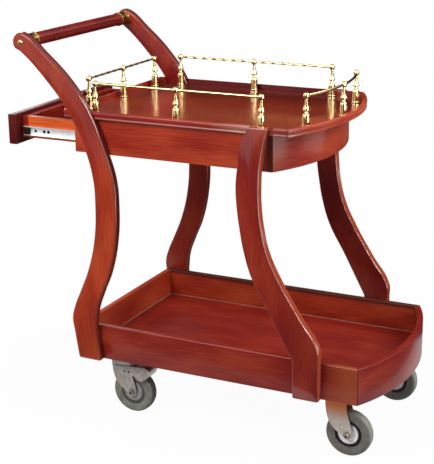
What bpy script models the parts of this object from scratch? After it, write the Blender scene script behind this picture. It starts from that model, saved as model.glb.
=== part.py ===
"""Serving trolley: two bow-fronted wooden trays on four curved legs.

The frame stands on the floor at z = 0, with +X towards the bowed front, -Y the near side
and +Z up.  The handlebar and the drawer are at the -X end.  The drawer is modelled part
open, as it rests, and slides along X.  Four swivel casters carry the lower tray.
"""
import math

import bmesh
import bpy
from mathutils import Matrix

# Clearances
FIT = 0.0003                    # between pieces that touch
MITRE_GAP = 0.0004              # between mitred boards
CUT_OVERRUN = 0.010             # how far a cutter runs past what it cuts
MERGE = 0.00001                 # welds points that lie together

# Carcass
BODY_HALF = 0.2047              # half width over the apron and the lower tray
APRON_END_X = -0.2617           # handle end of the apron
APRON_HEIGHT = 0.0745
APRON_THICKNESS = 0.015
APRON_ROUND = 0.002

# Upper tray
PANEL_THICKNESS = 0.006
RIM_OVERHANG = 0.0103           # how far the rim stands out of the carcass at its sides
RIM_END_OVERHANG = 0.0227       # the same at the handle end
RIM_BOW_OVERHANG = 0.038        # the same at the bow
RIM_APEX_X = 0.289              # front of the rim's bow
RIM_BOW_RADIUS = 0.436
RIM_CORNER = 0.010              # plan radius of the rim's corners
RIM_LIP = 0.0085                # width of the rim's top
RIM_HEIGHT = 0.015
RIM_ABOVE_PANEL = 0.011         # how far the rim stands above the tray floor
RIM_PANEL_INSET = 0.005         # tray floor's edge inside the rim's outer face
RIM_RETURN_GAP = 0.010          # bare floor edge between a front leg and the bow rim
RIM_PROFILE_SHARES = (          # (inset share of the lip, up share of the height)
    (1.0, 1.0), (0.41, 1.0), (0.12, 0.93), (0.0, 0.76), (0.0, 0.44),
    (0.16, 0.36), (0.16, 0.14), (0.04, 0.08), (0.04, 0.0),
)

# Lower tray
LOWER_END_X = -0.2694
LOWER_APEX_X = 0.432            # front of the lower bow
LOWER_BOW_RADIUS = 0.436
LOWER_HEIGHT = 0.0791
LOWER_WALL = 0.014
LOWER_FLOOR = 0.0158
LOWER_ROUND = 0.0035
BOARD_ROUND = 0.0012            # eased lower edges

# Legs
LEG_THICKNESS = 0.020
LEG_WIDTH = 0.057               # at the foot
LEG_ROUND = 0.004
BACK_LEG_HEIGHT = 0.6933        # foot to the handlebar's axis
BAR_ABOVE_RIM = 0.1361          # rim's top to the handlebar's axis
BACK_LEG_REACH = 0.166          # handlebar's axis to the rear edge at the waist
LEG_END_RADIUS = 0.0205         # rounded upper end of a back leg
LEG_END_ANGLES = (215, 178, 142, 106, 70)
BACK_LEG_SHARES = (             # (up, rear edge from the bar, width)
    (0.0, 0.657, 0.982), (0.088, 0.602, 0.982), (0.134, 0.578, 1.070),
    (0.174, 0.620, 1.018), (0.236, 0.735, 0.965), (0.304, 0.855, 0.965),
    (0.410, 0.968, 0.935), (0.523, 1.000, 0.921), (0.598, 0.982, 0.912),
    (0.690, 0.878, 0.870), (0.802, 0.645, 0.965), (0.887, 0.361, 1.053),
    (0.973, -0.024, 1.070),
)
FRONT_LEG_REACH = 0.125         # rear edge at the waist to the rear edge at the foot
FRONT_LEG_X = 0.122             # rear edge at the waist
FRONT_LEG_SHARES = (            # (up, rear edge from the waist, width)
    (0.0, 1.0, 1.0), (0.147, 0.992, 1.0), (0.202, 0.860, 1.272),
    (0.312, 0.598, 1.144), (0.439, 0.280, 1.070), (0.538, 0.136, 0.912),
    (0.622, 0.064, 0.860), (0.705, 0.016, 0.860), (0.780, 0.000, 0.877),
    (0.850, 0.030, 0.847), (0.942, 0.096, 0.860), (1.0, 0.224, 0.702),
)
FRONT_LEG_REAR_CORNERS = (0, 1, 11)     # rows where the rear edge has a crisp corner
FRONT_LEG_FRONT_CORNERS = (0, 2, 11)

# Handlebar
BAR_X = -0.374
BAR_RADIUS = 0.014
FERRULE_LENGTH = 0.030
FERRULE_WALL = 0.0012
FERRULE_BEAD = 0.0006           # how far the bead stands out of the sleeve
FERRULE_BEAD_WIDTH = 0.0024
BOLT_HEAD_RADIUS = 0.006
BOLT_HEAD_HEIGHT = 0.003
BOLT_HEAD_SHARES = ((0.0, 1.0), (0.45, 0.93), (0.85, 0.55))     # (out, up)
BOLT_SHANK_RADIUS = 0.0025
BOLT_LENGTH = 0.045             # depth of its hole, through the leg into the bar
BOLT_END_GAP = 0.0012           # between the bolt's end and the bottom of its hole

# Gallery
POST_INSET = 0.0246             # post axes inside the rim's outer face
SIDE_POST_MID_X = -0.0255
SIDE_POST_PITCH = 0.190
END_POST_INSET = 0.071          # outer end posts inside the rim's side
BOW_POST_INSET = 0.0736         # outer bow posts inside the rim's side
RAIL_HEIGHT = 0.0652            # rail axis above the tray floor
RAIL_RADIUS = 0.0027
RAIL_TAIL = 0.0025              # how far a rail runs past its last ball's centre
BALL_RADIUS = 0.0065
POST_RADIUS = 0.0076
POST_BASE_RADIUS = 0.009
POST_CONE_RADIUS = 0.007
POST_NECK_RADIUS = 0.0029
POST_SHARES = (                 # (radius name's share, share of the height below the rail)
    ("neck", 0.12), ("cone", 0.41), ("cone", 0.44), ("neck", 0.48), ("neck", 0.53),
    ("shoulder", 0.565), ("post", 0.61), ("post", 0.94), ("base", 1.0),
)

# Drawer
DRAWER_CLOSING = 0.150          # travel from rest to closed
DRAWER_FRONT_THICKNESS = 0.020
DRAWER_FRONT_UP = 0.0014        # front's lower edge above the apron's
DRAWER_FRONT_DOWN = 0.0071      # front's upper edge below the apron's
DRAWER_FRONT_ROUND = 0.002
DRAWER_UP = 0.0134              # drawer's lower edge above the apron's
DRAWER_DOWN = 0.0141            # drawer's upper edge below the apron's
DRAWER_DEPTH = 0.365            # length of the side boards
DRAWER_SIDE = 0.012
DRAWER_INNER_FRONT = 0.015
DRAWER_PANEL = 0.004
DRAWER_GROOVE = 0.005           # depth of the groove that holds the drawer's bottom
DRAWER_GROOVE_UP = 0.005        # from the side's lower edge to the groove
DRAWER_ROUND = 0.0008

# Drawer slides
SLIDE_SHORTER = 0.015           # than the drawer's sides
SLIDE_SPACE = 0.0107            # from the apron's inner face to the drawer's side
SLIDE_ON_DRAWER = 0.016         # centre line above the drawer's lower edge
SLIDE_CABINET_HEIGHT = 0.027
SLIDE_CABINET_DEPTH = 0.0095
SLIDE_MEMBER_HEIGHT = 0.019
SLIDE_MEMBER_DEPTH = 0.0074
SLIDE_SHEET = 0.001
SLIDE_CABINET_SETBACK = 0.0017  # behind the apron's handle end
SLIDE_MEMBER_SETBACK = 0.006    # behind the drawer front

# Casters
CASTER_FRONT_INSET = 0.111      # swivel axes behind the front of the lower bow
CASTER_BACK_INSET = 0.0774      # swivel axes inside the lower tray's handle end
CASTER_SIDE_INSET = 0.0547      # swivel axes inside the lower tray's sides
CASTER_TRAIL = 0.026            # axle behind the swivel axis
WHEEL_RADIUS = 0.050
TYRE_WIDTH = 0.024
TYRE_INNER_RADIUS = 0.030
TYRE_EDGE = 0.0035
TYRE_SIDE_DISH = 0.001
HUB_FACE_RADIUS = 0.025
HUB_BOSS_RADIUS = 0.011
HUB_RIM_HALF = 0.0095
HUB_FACE_HALF = 0.0112
HUB_GROOVE_HALF = 0.0076        # at the bottom of the groove inside the hub's rim
PLATE_LENGTH = 0.076
PLATE_WIDTH = 0.060
PLATE_THICKNESS = 0.0025
PLATE_CORNER = 0.006
RACE_HEIGHT = 0.0095
RACE_RADIUS = 0.021
RACE_NOSE_RADIUS = 0.018
KINGPIN_RADIUS = 0.006
KINGPIN_HEAD_RADIUS = 0.009
KINGPIN_HEAD_END_RADIUS = 0.0072
KINGPIN_HEAD_HEIGHT = 0.0025
FORK_GAP = 0.030                # between the fork's legs
FORK_SHEET = 0.0025
FORK_CROWN = 0.003
FORK_CLEARANCE = 0.0226         # tyre's height to the underside of the crown
FORK_HALF_LENGTH = 0.023        # crown, fore and aft of the swivel axis
FORK_BOSS_RADIUS = 0.0115
FORK_BOSS_ANGLES = (205, 238, 271, 304, 337)
FORK_REAR_SHARES = ((1.0, 1.0), (0.957, 0.75), (0.70, 0.40), (0.26, 0.18))
FORK_FRONT_SHARES = ((1.55, 0.17), (1.35, 0.40), (1.13, 0.61), (1.0, 0.82), (1.0, 1.0))
AXLE_RADIUS = 0.004
AXLE_HEAD_RADIUS = 0.0072
AXLE_HEAD_HEIGHT = 0.005

# Brakes on the handle end's casters
BRAKE_SHEET = 0.002
BRAKE_PIVOT_ALONG = 0.0095      # pivot in front of the swivel axis
BRAKE_PIVOT_DOWN = 0.0272       # pivot below the crown's top
BRAKE_PIN_RADIUS = 0.003
BRAKE_PIN_LENGTH = 0.003
BRAKE_LENGTH = 0.0635           # pivot to the pedal's tip
BRAKE_TOP_UP = 0.0151           # pedal's top above its pivot
BRAKE_DEPTH = 0.0325            # pedal's top to the lowest point of its skirt
BRAKE_SIDE_SHARES = (           # (along from the pivot, down from the top)
    (-0.40, 0.11), (-0.40, 0.69), (0.39, 0.72), (0.53, 0.985), (0.68, 1.0),
    (0.86, 0.79), (0.97, 0.51), (1.0, 0.17), (0.89, 0.0), (0.48, 0.0),
)
BRAKE_POCKET_SHARES = (         # hollow below the pedal's curved plate
    (-0.60, 1.3), (1.2, 1.3), (1.2, 0.91), (0.86, 0.70), (0.935, 0.48),
    (0.965, 0.19), (0.87, 0.065), (0.43, 0.065), (0.43, -0.3), (-0.60, -0.3),
)

# Facets
ARC_STEPS = 14
CORNER_STEPS = 3
OUTLINE_STEPS = 2
ROUND_STEPS = 2
BAR_STEPS = 20
POST_STEPS = 10
BALL_RINGS = 4
WHEEL_STEPS = 24
HUB_STEPS = 16
PIN_STEPS = 12
HEX_SIDES = 6
RAIL_SIDES = 2                  # bevel resolution of the rails
FLAT_ANGLE = 0.5                # degrees between facets that count as one flat face
SHARP_ANGLE = 35                # degrees above which an edge is shaded sharp
EASED_ANGLE = 40                # degrees above which an edge is eased

# Heights that follow from the driving sizes, up from the wheels
CROWN_TOP = 2 * WHEEL_RADIUS + FORK_CLEARANCE + FORK_CROWN
LOWER_BOTTOM = CROWN_TOP + FIT + RACE_HEIGHT + PLATE_THICKNESS + FIT
BAR_Z = LOWER_BOTTOM + BACK_LEG_HEIGHT
RIM_TOP = BAR_Z - BAR_ABOVE_RIM
RIM_BOTTOM = RIM_TOP - RIM_HEIGHT
PANEL_TOP = RIM_TOP - RIM_ABOVE_PANEL
PANEL_BOTTOM = PANEL_TOP - PANEL_THICKNESS
APRON_TOP = PANEL_BOTTOM - FIT
APRON_BOTTOM = APRON_TOP - APRON_HEIGHT
FRONT_LEG_HEIGHT = RIM_TOP - LOWER_BOTTOM
RAIL_Z = PANEL_TOP + FIT + RAIL_HEIGHT
DRAWER_FRONT_BOTTOM = APRON_BOTTOM + DRAWER_FRONT_UP
DRAWER_FRONT_TOP = APRON_TOP - DRAWER_FRONT_DOWN
DRAWER_BOTTOM = APRON_BOTTOM + DRAWER_UP
DRAWER_TOP = APRON_TOP - DRAWER_DOWN
SLIDE_Z = DRAWER_BOTTOM + SLIDE_ON_DRAWER
FORK_HEIGHT = CROWN_TOP - WHEEL_RADIUS
BRAKE_PIVOT_UP = CROWN_TOP - BRAKE_PIVOT_DOWN

# Plan sizes that follow
RIM_HALF = BODY_HALF + RIM_OVERHANG
RIM_END_X = APRON_END_X - RIM_END_OVERHANG
BOW_CENTRE_X = RIM_APEX_X - RIM_BOW_RADIUS      # of the arcs of both rim and apron
APRON_BOW_RADIUS = RIM_BOW_RADIUS - RIM_BOW_OVERHANG
LOWER_BOW_CENTRE_X = LOWER_APEX_X - LOWER_BOW_RADIUS
CASTER_FRONT_X = LOWER_APEX_X - CASTER_FRONT_INSET
CASTER_BACK_X = LOWER_END_X + CASTER_BACK_INSET
CASTER_HALF = BODY_HALF - CASTER_SIDE_INSET
LEG_INNER = BODY_HALF + FIT
LEG_OUTER = LEG_INNER + LEG_THICKNESS
APRON_INNER = BODY_HALF - APRON_THICKNESS
DRAWER_HALF = APRON_INNER - SLIDE_SPACE
DRAWER_FRONT_BACK_X = APRON_END_X - FIT - DRAWER_CLOSING
DRAWER_SIDE_X = DRAWER_FRONT_BACK_X + FIT + DRAWER_INNER_FRONT + FIT
SLIDE_LENGTH = DRAWER_DEPTH - SLIDE_SHORTER
FORK_OUTER = FORK_GAP / 2 + FORK_SHEET

# Colours as (red, green, blue), roughness and metallic value
FINISHES = {
    "cherry_lacquer": ((0.35, 0.045, 0.025), 0.25, 0.0),
    "cherry_drawer": ((0.52, 0.10, 0.02), 0.35, 0.0),
    "brass": ((0.69, 0.47, 0.16), 0.2, 1.0),
    "zinc_steel": ((0.55, 0.53, 0.51), 0.35, 1.0),
    "slide_steel": ((0.70, 0.74, 0.76), 0.25, 1.0),
    "hub_nylon": ((0.55, 0.53, 0.53), 0.45, 0.0),
    "grey_rubber": ((0.15, 0.14, 0.135), 0.75, 0.0),
}

SIDES = (("near", -1), ("far", 1))


# Scene and object helpers

def clear_scene():
    for obj in list(bpy.data.objects):
        bpy.data.objects.remove(obj, do_unlink=True)


def new_collection(name):
    group = bpy.data.collections.new(name)
    bpy.context.scene.collection.children.link(group)
    return group


def make_material(name):
    colour, roughness, metallic = FINISHES[name]
    material = bpy.data.materials.get(name) or bpy.data.materials.new(name)
    material.use_nodes = True
    shader = material.node_tree.nodes["Principled BSDF"]
    shader.inputs["Base Color"].default_value = (*colour, 1)
    shader.inputs["Roughness"].default_value = roughness
    shader.inputs["Metallic"].default_value = metallic
    material.diffuse_color = (*colour, 1)
    return material


def add_object(name, data, group):
    obj = bpy.data.objects.new(name, data)
    group.objects.link(obj)
    return obj


def mesh_from(bm, name):
    bmesh.ops.recalc_face_normals(bm, faces=bm.faces)
    mesh = bpy.data.meshes.new(name)
    bm.to_mesh(mesh)
    bm.free()
    return mesh


def evaluated(obj):
    """World-space mesh of an object with its modifiers, which replaces the object."""
    bpy.context.view_layer.update()
    graph = bpy.context.evaluated_depsgraph_get()
    mesh = bpy.data.meshes.new_from_object(obj.evaluated_get(graph))
    mesh.transform(obj.matrix_world)
    bpy.data.objects.remove(obj, do_unlink=True)
    return mesh


def weld(mesh):
    """Close a curve's loose caps and drop the edges that divide its flat faces."""
    bm = bmesh.new()
    bm.from_mesh(mesh)
    bmesh.ops.remove_doubles(bm, verts=bm.verts, dist=MERGE)
    bmesh.ops.dissolve_limit(bm, angle_limit=math.radians(FLAT_ANGLE), verts=bm.verts,
                              edges=bm.edges)
    bmesh.ops.recalc_face_normals(bm, faces=bm.faces)
    bm.to_mesh(mesh)
    bm.free()
    return mesh


def shade(mesh):
    mesh.shade_smooth()
    mesh.set_sharp_from_angle(angle=math.radians(SHARP_ANGLE))


def add_bevel(obj, width, segments=ROUND_STEPS):
    bevel = obj.modifiers.new("eased edges", "BEVEL")
    bevel.width = width
    bevel.segments = segments
    bevel.limit_method = "ANGLE"
    bevel.angle_limit = math.radians(EASED_ANGLE)
    return obj


def boolean(target, tool, operation):
    modifier = target.modifiers.new(operation.lower(), "BOOLEAN")
    modifier.operation = operation
    modifier.solver = "EXACT"
    modifier.object = tool
    if operation == "DIFFERENCE":
        tool.display_type = "WIRE"
        tool.hide_render = True


class Workshop:
    """Collections and materials that the builders share."""

    def __init__(self):
        self.parts = new_collection("serving_trolley")
        self.cutters = new_collection("cutters")
        self.materials = {name: make_material(name) for name in FINISHES}

    def part(self, name, mesh, finish, origin=(0, 0, 0), parent=None):
        """Add a finished sub-part whose mesh is in world space, with its origin where asked."""
        mesh.transform(Matrix.Translation([-value for value in origin]))
        mesh.materials.clear()
        mesh.materials.append(self.materials[finish])
        shade(mesh)
        obj = add_object(name, mesh, self.parts)
        obj.location = origin
        if parent is not None:
            obj.parent = parent
            obj.location = [a - b for a, b in zip(origin, parent.matrix_world.translation)]
        return obj

    def empty(self, name, location):
        obj = add_object(name, None, self.parts)
        obj.location = location
        bpy.context.view_layer.update()
        return obj

    def shape(self, mesh, location=(0, 0, 0), name="shape"):
        """A short-lived object among the cutters, for modifiers to work on or with."""
        obj = add_object(name, mesh, self.cutters)
        obj.location = location
        return obj


# Basic shapes

def box_mesh(low, high):
    bm = bmesh.new()
    size = [b - a for a, b in zip(low, high)]
    middle = [(a + b) / 2 for a, b in zip(low, high)]
    matrix = Matrix.Translation(middle) @ Matrix.Diagonal((*size, 1))
    bmesh.ops.create_cube(bm, size=1, matrix=matrix)
    return mesh_from(bm, "box")


def board(shop, name, low, high, finish, ease, **place):
    obj = add_bevel(shop.shape(box_mesh(low, high)), ease, segments=1)
    return shop.part(name, evaluated(obj), finish, **place)


def cylinder_mesh(radius, start, end, steps, axis="Z"):
    """Cylinder along an axis, between two points that lie on it."""
    bm = bmesh.new()
    bmesh.ops.create_cone(bm, cap_ends=True, segments=steps, radius1=radius, radius2=radius,
                          depth=abs(end - start))
    if axis == "Y":
        bmesh.ops.rotate(bm, verts=bm.verts, matrix=Matrix.Rotation(math.pi / 2, 3, "X"))
        bmesh.ops.translate(bm, verts=bm.verts, vec=(0, (start + end) / 2, 0))
    else:
        bmesh.ops.translate(bm, verts=bm.verts, vec=(0, 0, (start + end) / 2))
    return mesh_from(bm, "cylinder")


def turned_mesh(shop, profile, steps, closed=False):
    """Turn a profile of (radius, height), top to bottom down its outer side, about Z."""
    mesh = bpy.data.meshes.new("profile")
    count = len(profile)
    edges = [(i, i + 1) for i in range(count - 1)]
    if closed:
        edges.append((count - 1, 0))
    mesh.from_pydata([(radius, 0, height) for radius, height in profile], edges, [])
    obj = shop.shape(mesh)
    screw = obj.modifiers.new("turn", "SCREW")
    screw.steps = steps
    screw.render_steps = steps
    screw.use_merge_vertices = True
    screw.merge_threshold = MERGE
    return evaluated(obj)


def along_y(mesh):
    """Lay a shape turned about Z along Y, its top towards -Y."""
    mesh.transform(Matrix.Rotation(math.pi / 2, 4, "X"))
    return mesh


def flat_curve(shop, points, thickness, corners=(), steps=OUTLINE_STEPS, smooth=False):
    """Filled 2D curve, as a welded mesh centred on z = 0."""
    curve = bpy.data.curves.new("outline", "CURVE")
    curve.dimensions = "2D"
    curve.fill_mode = "BOTH"
    curve.extrude = thickness / 2
    curve.resolution_u = steps
    if smooth:
        spline = curve.splines.new("BEZIER")
        spline.bezier_points.add(len(points) - 1)
        for index, (knot, point) in enumerate(zip(spline.bezier_points, points)):
            knot.co = (*point, 0)
            kind = "VECTOR" if index in corners else "AUTO"
            knot.handle_left_type = kind
            knot.handle_right_type = kind
    else:
        spline = curve.splines.new("POLY")
        spline.points.add(len(points) - 1)
        for knot, point in zip(spline.points, points):
            knot.co = (*point, 0, 1)
    spline.use_cyclic_u = True
    return weld(evaluated(shop.shape(curve)))


def upright(mesh, middle_y):
    """Stand a flat XY shape up in the XZ plane, with its middle at a given y."""
    mesh.transform(Matrix.Translation((0, middle_y, 0)) @ Matrix.Rotation(math.pi / 2, 4, "X"))
    return mesh


def rod_mesh(shop, points, radius):
    curve = bpy.data.curves.new("rod", "CURVE")
    curve.dimensions = "3D"
    curve.bevel_depth = radius
    curve.bevel_resolution = RAIL_SIDES
    curve.use_fill_caps = True
    spline = curve.splines.new("POLY")
    spline.points.add(len(points) - 1)
    for knot, point in zip(spline.points, points):
        knot.co = (*point, 1)
    mesh = evaluated(shop.shape(curve))
    return weld(mesh)


def loft_mesh(rings):
    """Join closed rings of points, one after another, and cap both ends.

    Used for mouldings and boards whose ends are mitred, where the end sections are unlike.
    """
    bm = bmesh.new()
    rows = [[bm.verts.new(point) for point in ring] for ring in rings]
    count = len(rows[0])
    for first, second in zip(rows, rows[1:]):
        for i in range(count):
            j = (i + 1) % count
            bm.faces.new((first[i], first[j], second[j], second[i]))
    bm.faces.new(rows[0])
    bm.faces.new(rows[-1])
    return mesh_from(bm, "loft")


def swept_mesh(stations, profile):
    """Carry a profile of (inset, height) through stations that place an inset in plan."""
    return loft_mesh([[(*station(inset), height) for inset, height in profile]
                      for station in stations])


def moved(mesh, offset):
    copy = mesh.copy()
    copy.transform(Matrix.Translation(offset))
    return copy


def difference(shop, mesh, cutters):
    target = shop.shape(mesh)
    tools = [shop.shape(cutter) for cutter in cutters]
    for tool in tools:
        boolean(target, tool, "DIFFERENCE")
    result = evaluated(target)
    for tool in tools:
        bpy.data.objects.remove(tool, do_unlink=True)
    return result


def union(shop, mesh, others):
    target = shop.shape(mesh)
    tools = [shop.shape(other) for other in others]
    for tool in tools:
        boolean(target, tool, "UNION")
    result = evaluated(target)
    for tool in tools:
        bpy.data.objects.remove(tool, do_unlink=True)
    return result


# Plan geometry of the bowed boards

def crease(centre_x, radius, half, inset):
    """Where a bow's arc meets its straight side, both moved inwards by an inset."""
    return centre_x + math.sqrt((radius - inset) ** 2 - (half - inset) ** 2)


def bow_station(centre_x, radius, half, share):
    """Station on a bow, at -1 on its near crease and 1 on its far one."""
    def place(inset):
        turn = share * math.asin((half - inset) / (radius - inset))
        reach = radius - inset
        return centre_x + reach * math.cos(turn), reach * math.sin(turn)
    return place


def bow_stations(centre_x, radius, half):
    return [bow_station(centre_x, radius, half, 2 * i / ARC_STEPS - 1)
            for i in range(ARC_STEPS + 1)]


def side_stations(start_x, centre_x, radius, half, side):
    """A straight side board, square at its start and mitred to the bow."""
    def start(inset):
        return start_x, side * (half - inset)

    def end(inset):
        return crease(centre_x, radius, half, inset) - MITRE_GAP, side * (half - inset)
    return [start, end]


def arc_station(centre, radius, degrees):
    """Station on a rounded corner or straight run, given by the circle that it touches."""
    turn = math.radians(degrees)

    def place(inset):
        reach = radius - inset
        return centre[0] + reach * math.cos(turn), centre[1] + reach * math.sin(turn)
    return place


def cross_ends(x, half):
    """Stations of a board that runs straight across, its insets measured along +X."""
    def near(inset):
        return x + inset, -half

    def far(inset):
        return x + inset, half
    return [near, far]


def corner_stations(centre, radius, first, last):
    return [arc_station(centre, radius, first + (last - first) * i / CORNER_STEPS)
            for i in range(CORNER_STEPS + 1)]


def board_profile(thickness, bottom, top, round_bottom, round_top):
    """Section of an upright board, as (inset, height) with eased edges."""
    points = []
    corners = ((0, bottom, round_bottom, 180), (thickness, bottom, round_bottom, 270),
               (thickness, top, round_top, 0), (0, top, round_top, 90))
    for inset, height, ease, first in corners:
        if ease == 0:
            points.append((inset, height))
            continue
        centre = (abs(inset - ease), height + ease if height == bottom else height - ease)
        for i in range(ROUND_STEPS + 1):
            turn = math.radians(first + 90 * i / ROUND_STEPS)
            points.append((centre[0] + ease * math.cos(turn), centre[1] + ease * math.sin(turn)))
    return points


# Legs

def leg_edge(shares, height, origin_x, reach, grow):
    """Rear and front edges of a leg, as two lists of (x, z) going up."""
    rear = []
    front = []
    for up, along, width in shares:
        x = origin_x + reach * along
        z = LOWER_BOTTOM + height * up
        rear.append((x - grow, z))
        front.append((x + LEG_WIDTH * width + grow, z))
    return rear, front


def back_leg_outline(grow=0):
    rear, front = leg_edge(BACK_LEG_SHARES, BACK_LEG_HEIGHT, BAR_X, BACK_LEG_REACH, grow)
    end = [(BAR_X + LEG_END_RADIUS * math.cos(math.radians(a)),
            BAR_Z + LEG_END_RADIUS * math.sin(math.radians(a))) for a in LEG_END_ANGLES]
    points = rear + end + front[::-1]
    return points, (0, len(points) - 1)


def front_leg_outline(grow=0):
    rear, front = leg_edge(FRONT_LEG_SHARES, FRONT_LEG_HEIGHT, FRONT_LEG_X, FRONT_LEG_REACH, grow)
    points = rear + front[::-1]
    last = len(points) - 1
    corners = FRONT_LEG_REAR_CORNERS + tuple(last - i for i in FRONT_LEG_FRONT_CORNERS)
    return points, corners


def leg_middle_x(shares, height, origin_x, reach, z):
    """Middle of a leg at a height, between the rows of its table."""
    rear, front = leg_edge(shares, height, origin_x, reach, 0)
    for (r0, f0), (r1, f1) in zip(zip(rear, front), zip(rear[1:], front[1:])):
        if r0[1] <= z <= r1[1]:
            share = (z - r0[1]) / (r1[1] - r0[1])
            return (r0[0] + f0[0] + share * (r1[0] + f1[0] - r0[0] - f0[0])) / 2
    return rear[-1][0]


def leg_mesh(shop, outline, inner, outer, side):
    points, corners = outline
    mesh = flat_curve(shop, points, outer - inner, corners, smooth=True)
    return upright(mesh, side * (inner + outer) / 2)


def leg_cutter(shop, outline, side):
    """Room for a leg where it passes through the rim and the tray floor."""
    return leg_mesh(shop, outline(2 * FIT), BODY_HALF, LEG_OUTER + CUT_OVERRUN, side)


def leg_cutters(shop, side):
    return [leg_cutter(shop, back_leg_outline, side), leg_cutter(shop, front_leg_outline, side)]


def bolt_hole(side):
    hole = cylinder_mesh(BOLT_SHANK_RADIUS + FIT, side * (LEG_INNER - CUT_OVERRUN),
                         side * (LEG_OUTER + CUT_OVERRUN), PIN_STEPS, axis="Y")
    hole.transform(Matrix.Translation((BAR_X, 0, BAR_Z)))
    return hole


def build_legs(shop):
    for label, side in SIDES:
        back = leg_mesh(shop, back_leg_outline(), LEG_INNER, LEG_OUTER, side)
        back = evaluated(add_bevel(shop.shape(back), LEG_ROUND))
        shop.part(f"leg_back_{label}", difference(shop, back, [bolt_hole(side)]), "cherry_lacquer")
        front = leg_mesh(shop, front_leg_outline(), LEG_INNER, LEG_OUTER, side)
        front = evaluated(add_bevel(shop.shape(front), LEG_ROUND))
        shop.part(f"leg_front_{label}", front, "cherry_lacquer")


# Handlebar

def bar_profile():
    """Half of the bar's section with the bolt's blind hole in its end, end to middle."""
    end = LEG_INNER - FIT
    hole = BOLT_SHANK_RADIUS + FIT
    depth = BOLT_LENGTH - LEG_THICKNESS
    return [(0, end - depth), (hole, end - depth), (hole, end), (BAR_RADIUS, end)]


def ferrule_profile(start, end):
    """Sleeve round the bar, from the leg's face to the bead at its other end."""
    inner = BAR_RADIUS + FIT
    outer = inner + FERRULE_WALL
    bead = outer + FERRULE_BEAD
    shoulder = end + FERRULE_BEAD_WIDTH
    return [(inner, start), (outer, start), (outer, shoulder + FERRULE_WALL),
            (bead, shoulder), (bead, end), (inner, end)]


def bolt_profile():
    """Cup-headed bolt, head upwards, seated on the leg's outer face at height 0."""
    head = [(BOLT_HEAD_RADIUS * out, BOLT_HEAD_HEIGHT * up) for out, up in BOLT_HEAD_SHARES]
    tip = BOLT_END_GAP - BOLT_LENGTH
    return head + [(BOLT_HEAD_RADIUS, FIT), (BOLT_SHANK_RADIUS, FIT), (BOLT_SHANK_RADIUS, tip),
                   (0, tip)]


def build_handlebar(shop):
    centre = (BAR_X, 0, BAR_Z)
    half = bar_profile()
    profile = half + [(radius, -height) for radius, height in reversed(half)]
    bar = along_y(turned_mesh(shop, profile, BAR_STEPS))
    shop.part("handlebar", moved(bar, centre), "cherry_lacquer", origin=centre)
    end = LEG_INNER - FIT
    ferrule = along_y(turned_mesh(shop, ferrule_profile(end, end - FERRULE_LENGTH), BAR_STEPS, True))
    bolt = moved(along_y(turned_mesh(shop, bolt_profile(), PIN_STEPS)), (0, -LEG_OUTER, 0))
    for label, side in SIDES:
        turn = Matrix.Rotation(0 if side < 0 else math.pi, 4, "Z")
        for name, mesh in (("ferrule", ferrule), ("bolt", bolt)):
            piece = mesh.copy()
            piece.transform(turn)
            shop.part(f"handle_{name}_{label}", moved(piece, centre), "brass", origin=centre)


# Upper tray

def build_apron(shop):
    profile = board_profile(APRON_THICKNESS, APRON_BOTTOM, APRON_TOP, APRON_ROUND, 0)
    bow = swept_mesh(bow_stations(BOW_CENTRE_X, APRON_BOW_RADIUS, BODY_HALF), profile)
    shop.part("apron_bow", bow, "cherry_lacquer")
    for label, side in SIDES:
        stations = side_stations(APRON_END_X, BOW_CENTRE_X, APRON_BOW_RADIUS, BODY_HALF, side)
        shop.part(f"apron_side_{label}", swept_mesh(stations, profile), "cherry_lacquer")


def rim_profile():
    """The rim's moulding, rabbeted on its inner side to sit on the tray floor's edge."""
    points = [(RIM_LIP * inset, RIM_BOTTOM + RIM_HEIGHT * up)
              for inset, up in RIM_PROFILE_SHARES]
    rabbet = RIM_PANEL_INSET - FIT
    step = PANEL_TOP + FIT
    return points + [(rabbet, RIM_BOTTOM), (rabbet, step), (RIM_LIP, step)]


def rim_crease_centre(side):
    """Centre of the rounded corner between the rim's side and its bow."""
    reach = RIM_BOW_RADIUS - RIM_CORNER
    across = RIM_HALF - RIM_CORNER
    return BOW_CENTRE_X + math.sqrt(reach ** 2 - across ** 2), side * across


def rim_bow_stations():
    """Round the bow from its near side to its far one."""
    across = RIM_HALF - RIM_CORNER
    turn = math.degrees(math.asin(across / (RIM_BOW_RADIUS - RIM_CORNER)))
    near = corner_stations(rim_crease_centre(-1), RIM_CORNER, -90, -turn)
    bow = [arc_station((BOW_CENTRE_X, 0), RIM_BOW_RADIUS, turn * (2 * i / ARC_STEPS - 1))
           for i in range(1, ARC_STEPS)]
    far = corner_stations(rim_crease_centre(1), RIM_CORNER, turn, 90)
    return near + bow + far


def rim_end_stations():
    """Round the handle end from its far side to its near one."""
    x = RIM_END_X + RIM_CORNER
    across = RIM_HALF - RIM_CORNER
    return corner_stations((x, across), RIM_CORNER, 90, 180) + corner_stations(
        (x, -across), RIM_CORNER, 180, 270)


def rim_straight(x, side):
    return arc_station((x, side * (RIM_HALF - RIM_CORNER)), RIM_CORNER, side * 90)


def build_tray_panel(shop):
    outline = [place(RIM_PANEL_INSET) for place in rim_bow_stations() + rim_end_stations()]
    panel = flat_curve(shop, outline, PANEL_THICKNESS)
    panel.transform(Matrix.Translation((0, 0, (PANEL_BOTTOM + PANEL_TOP) / 2)))
    cutters = leg_cutters(shop, -1) + leg_cutters(shop, 1)
    shop.part("tray_panel", difference(shop, panel, cutters), "cherry_lacquer")


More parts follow.
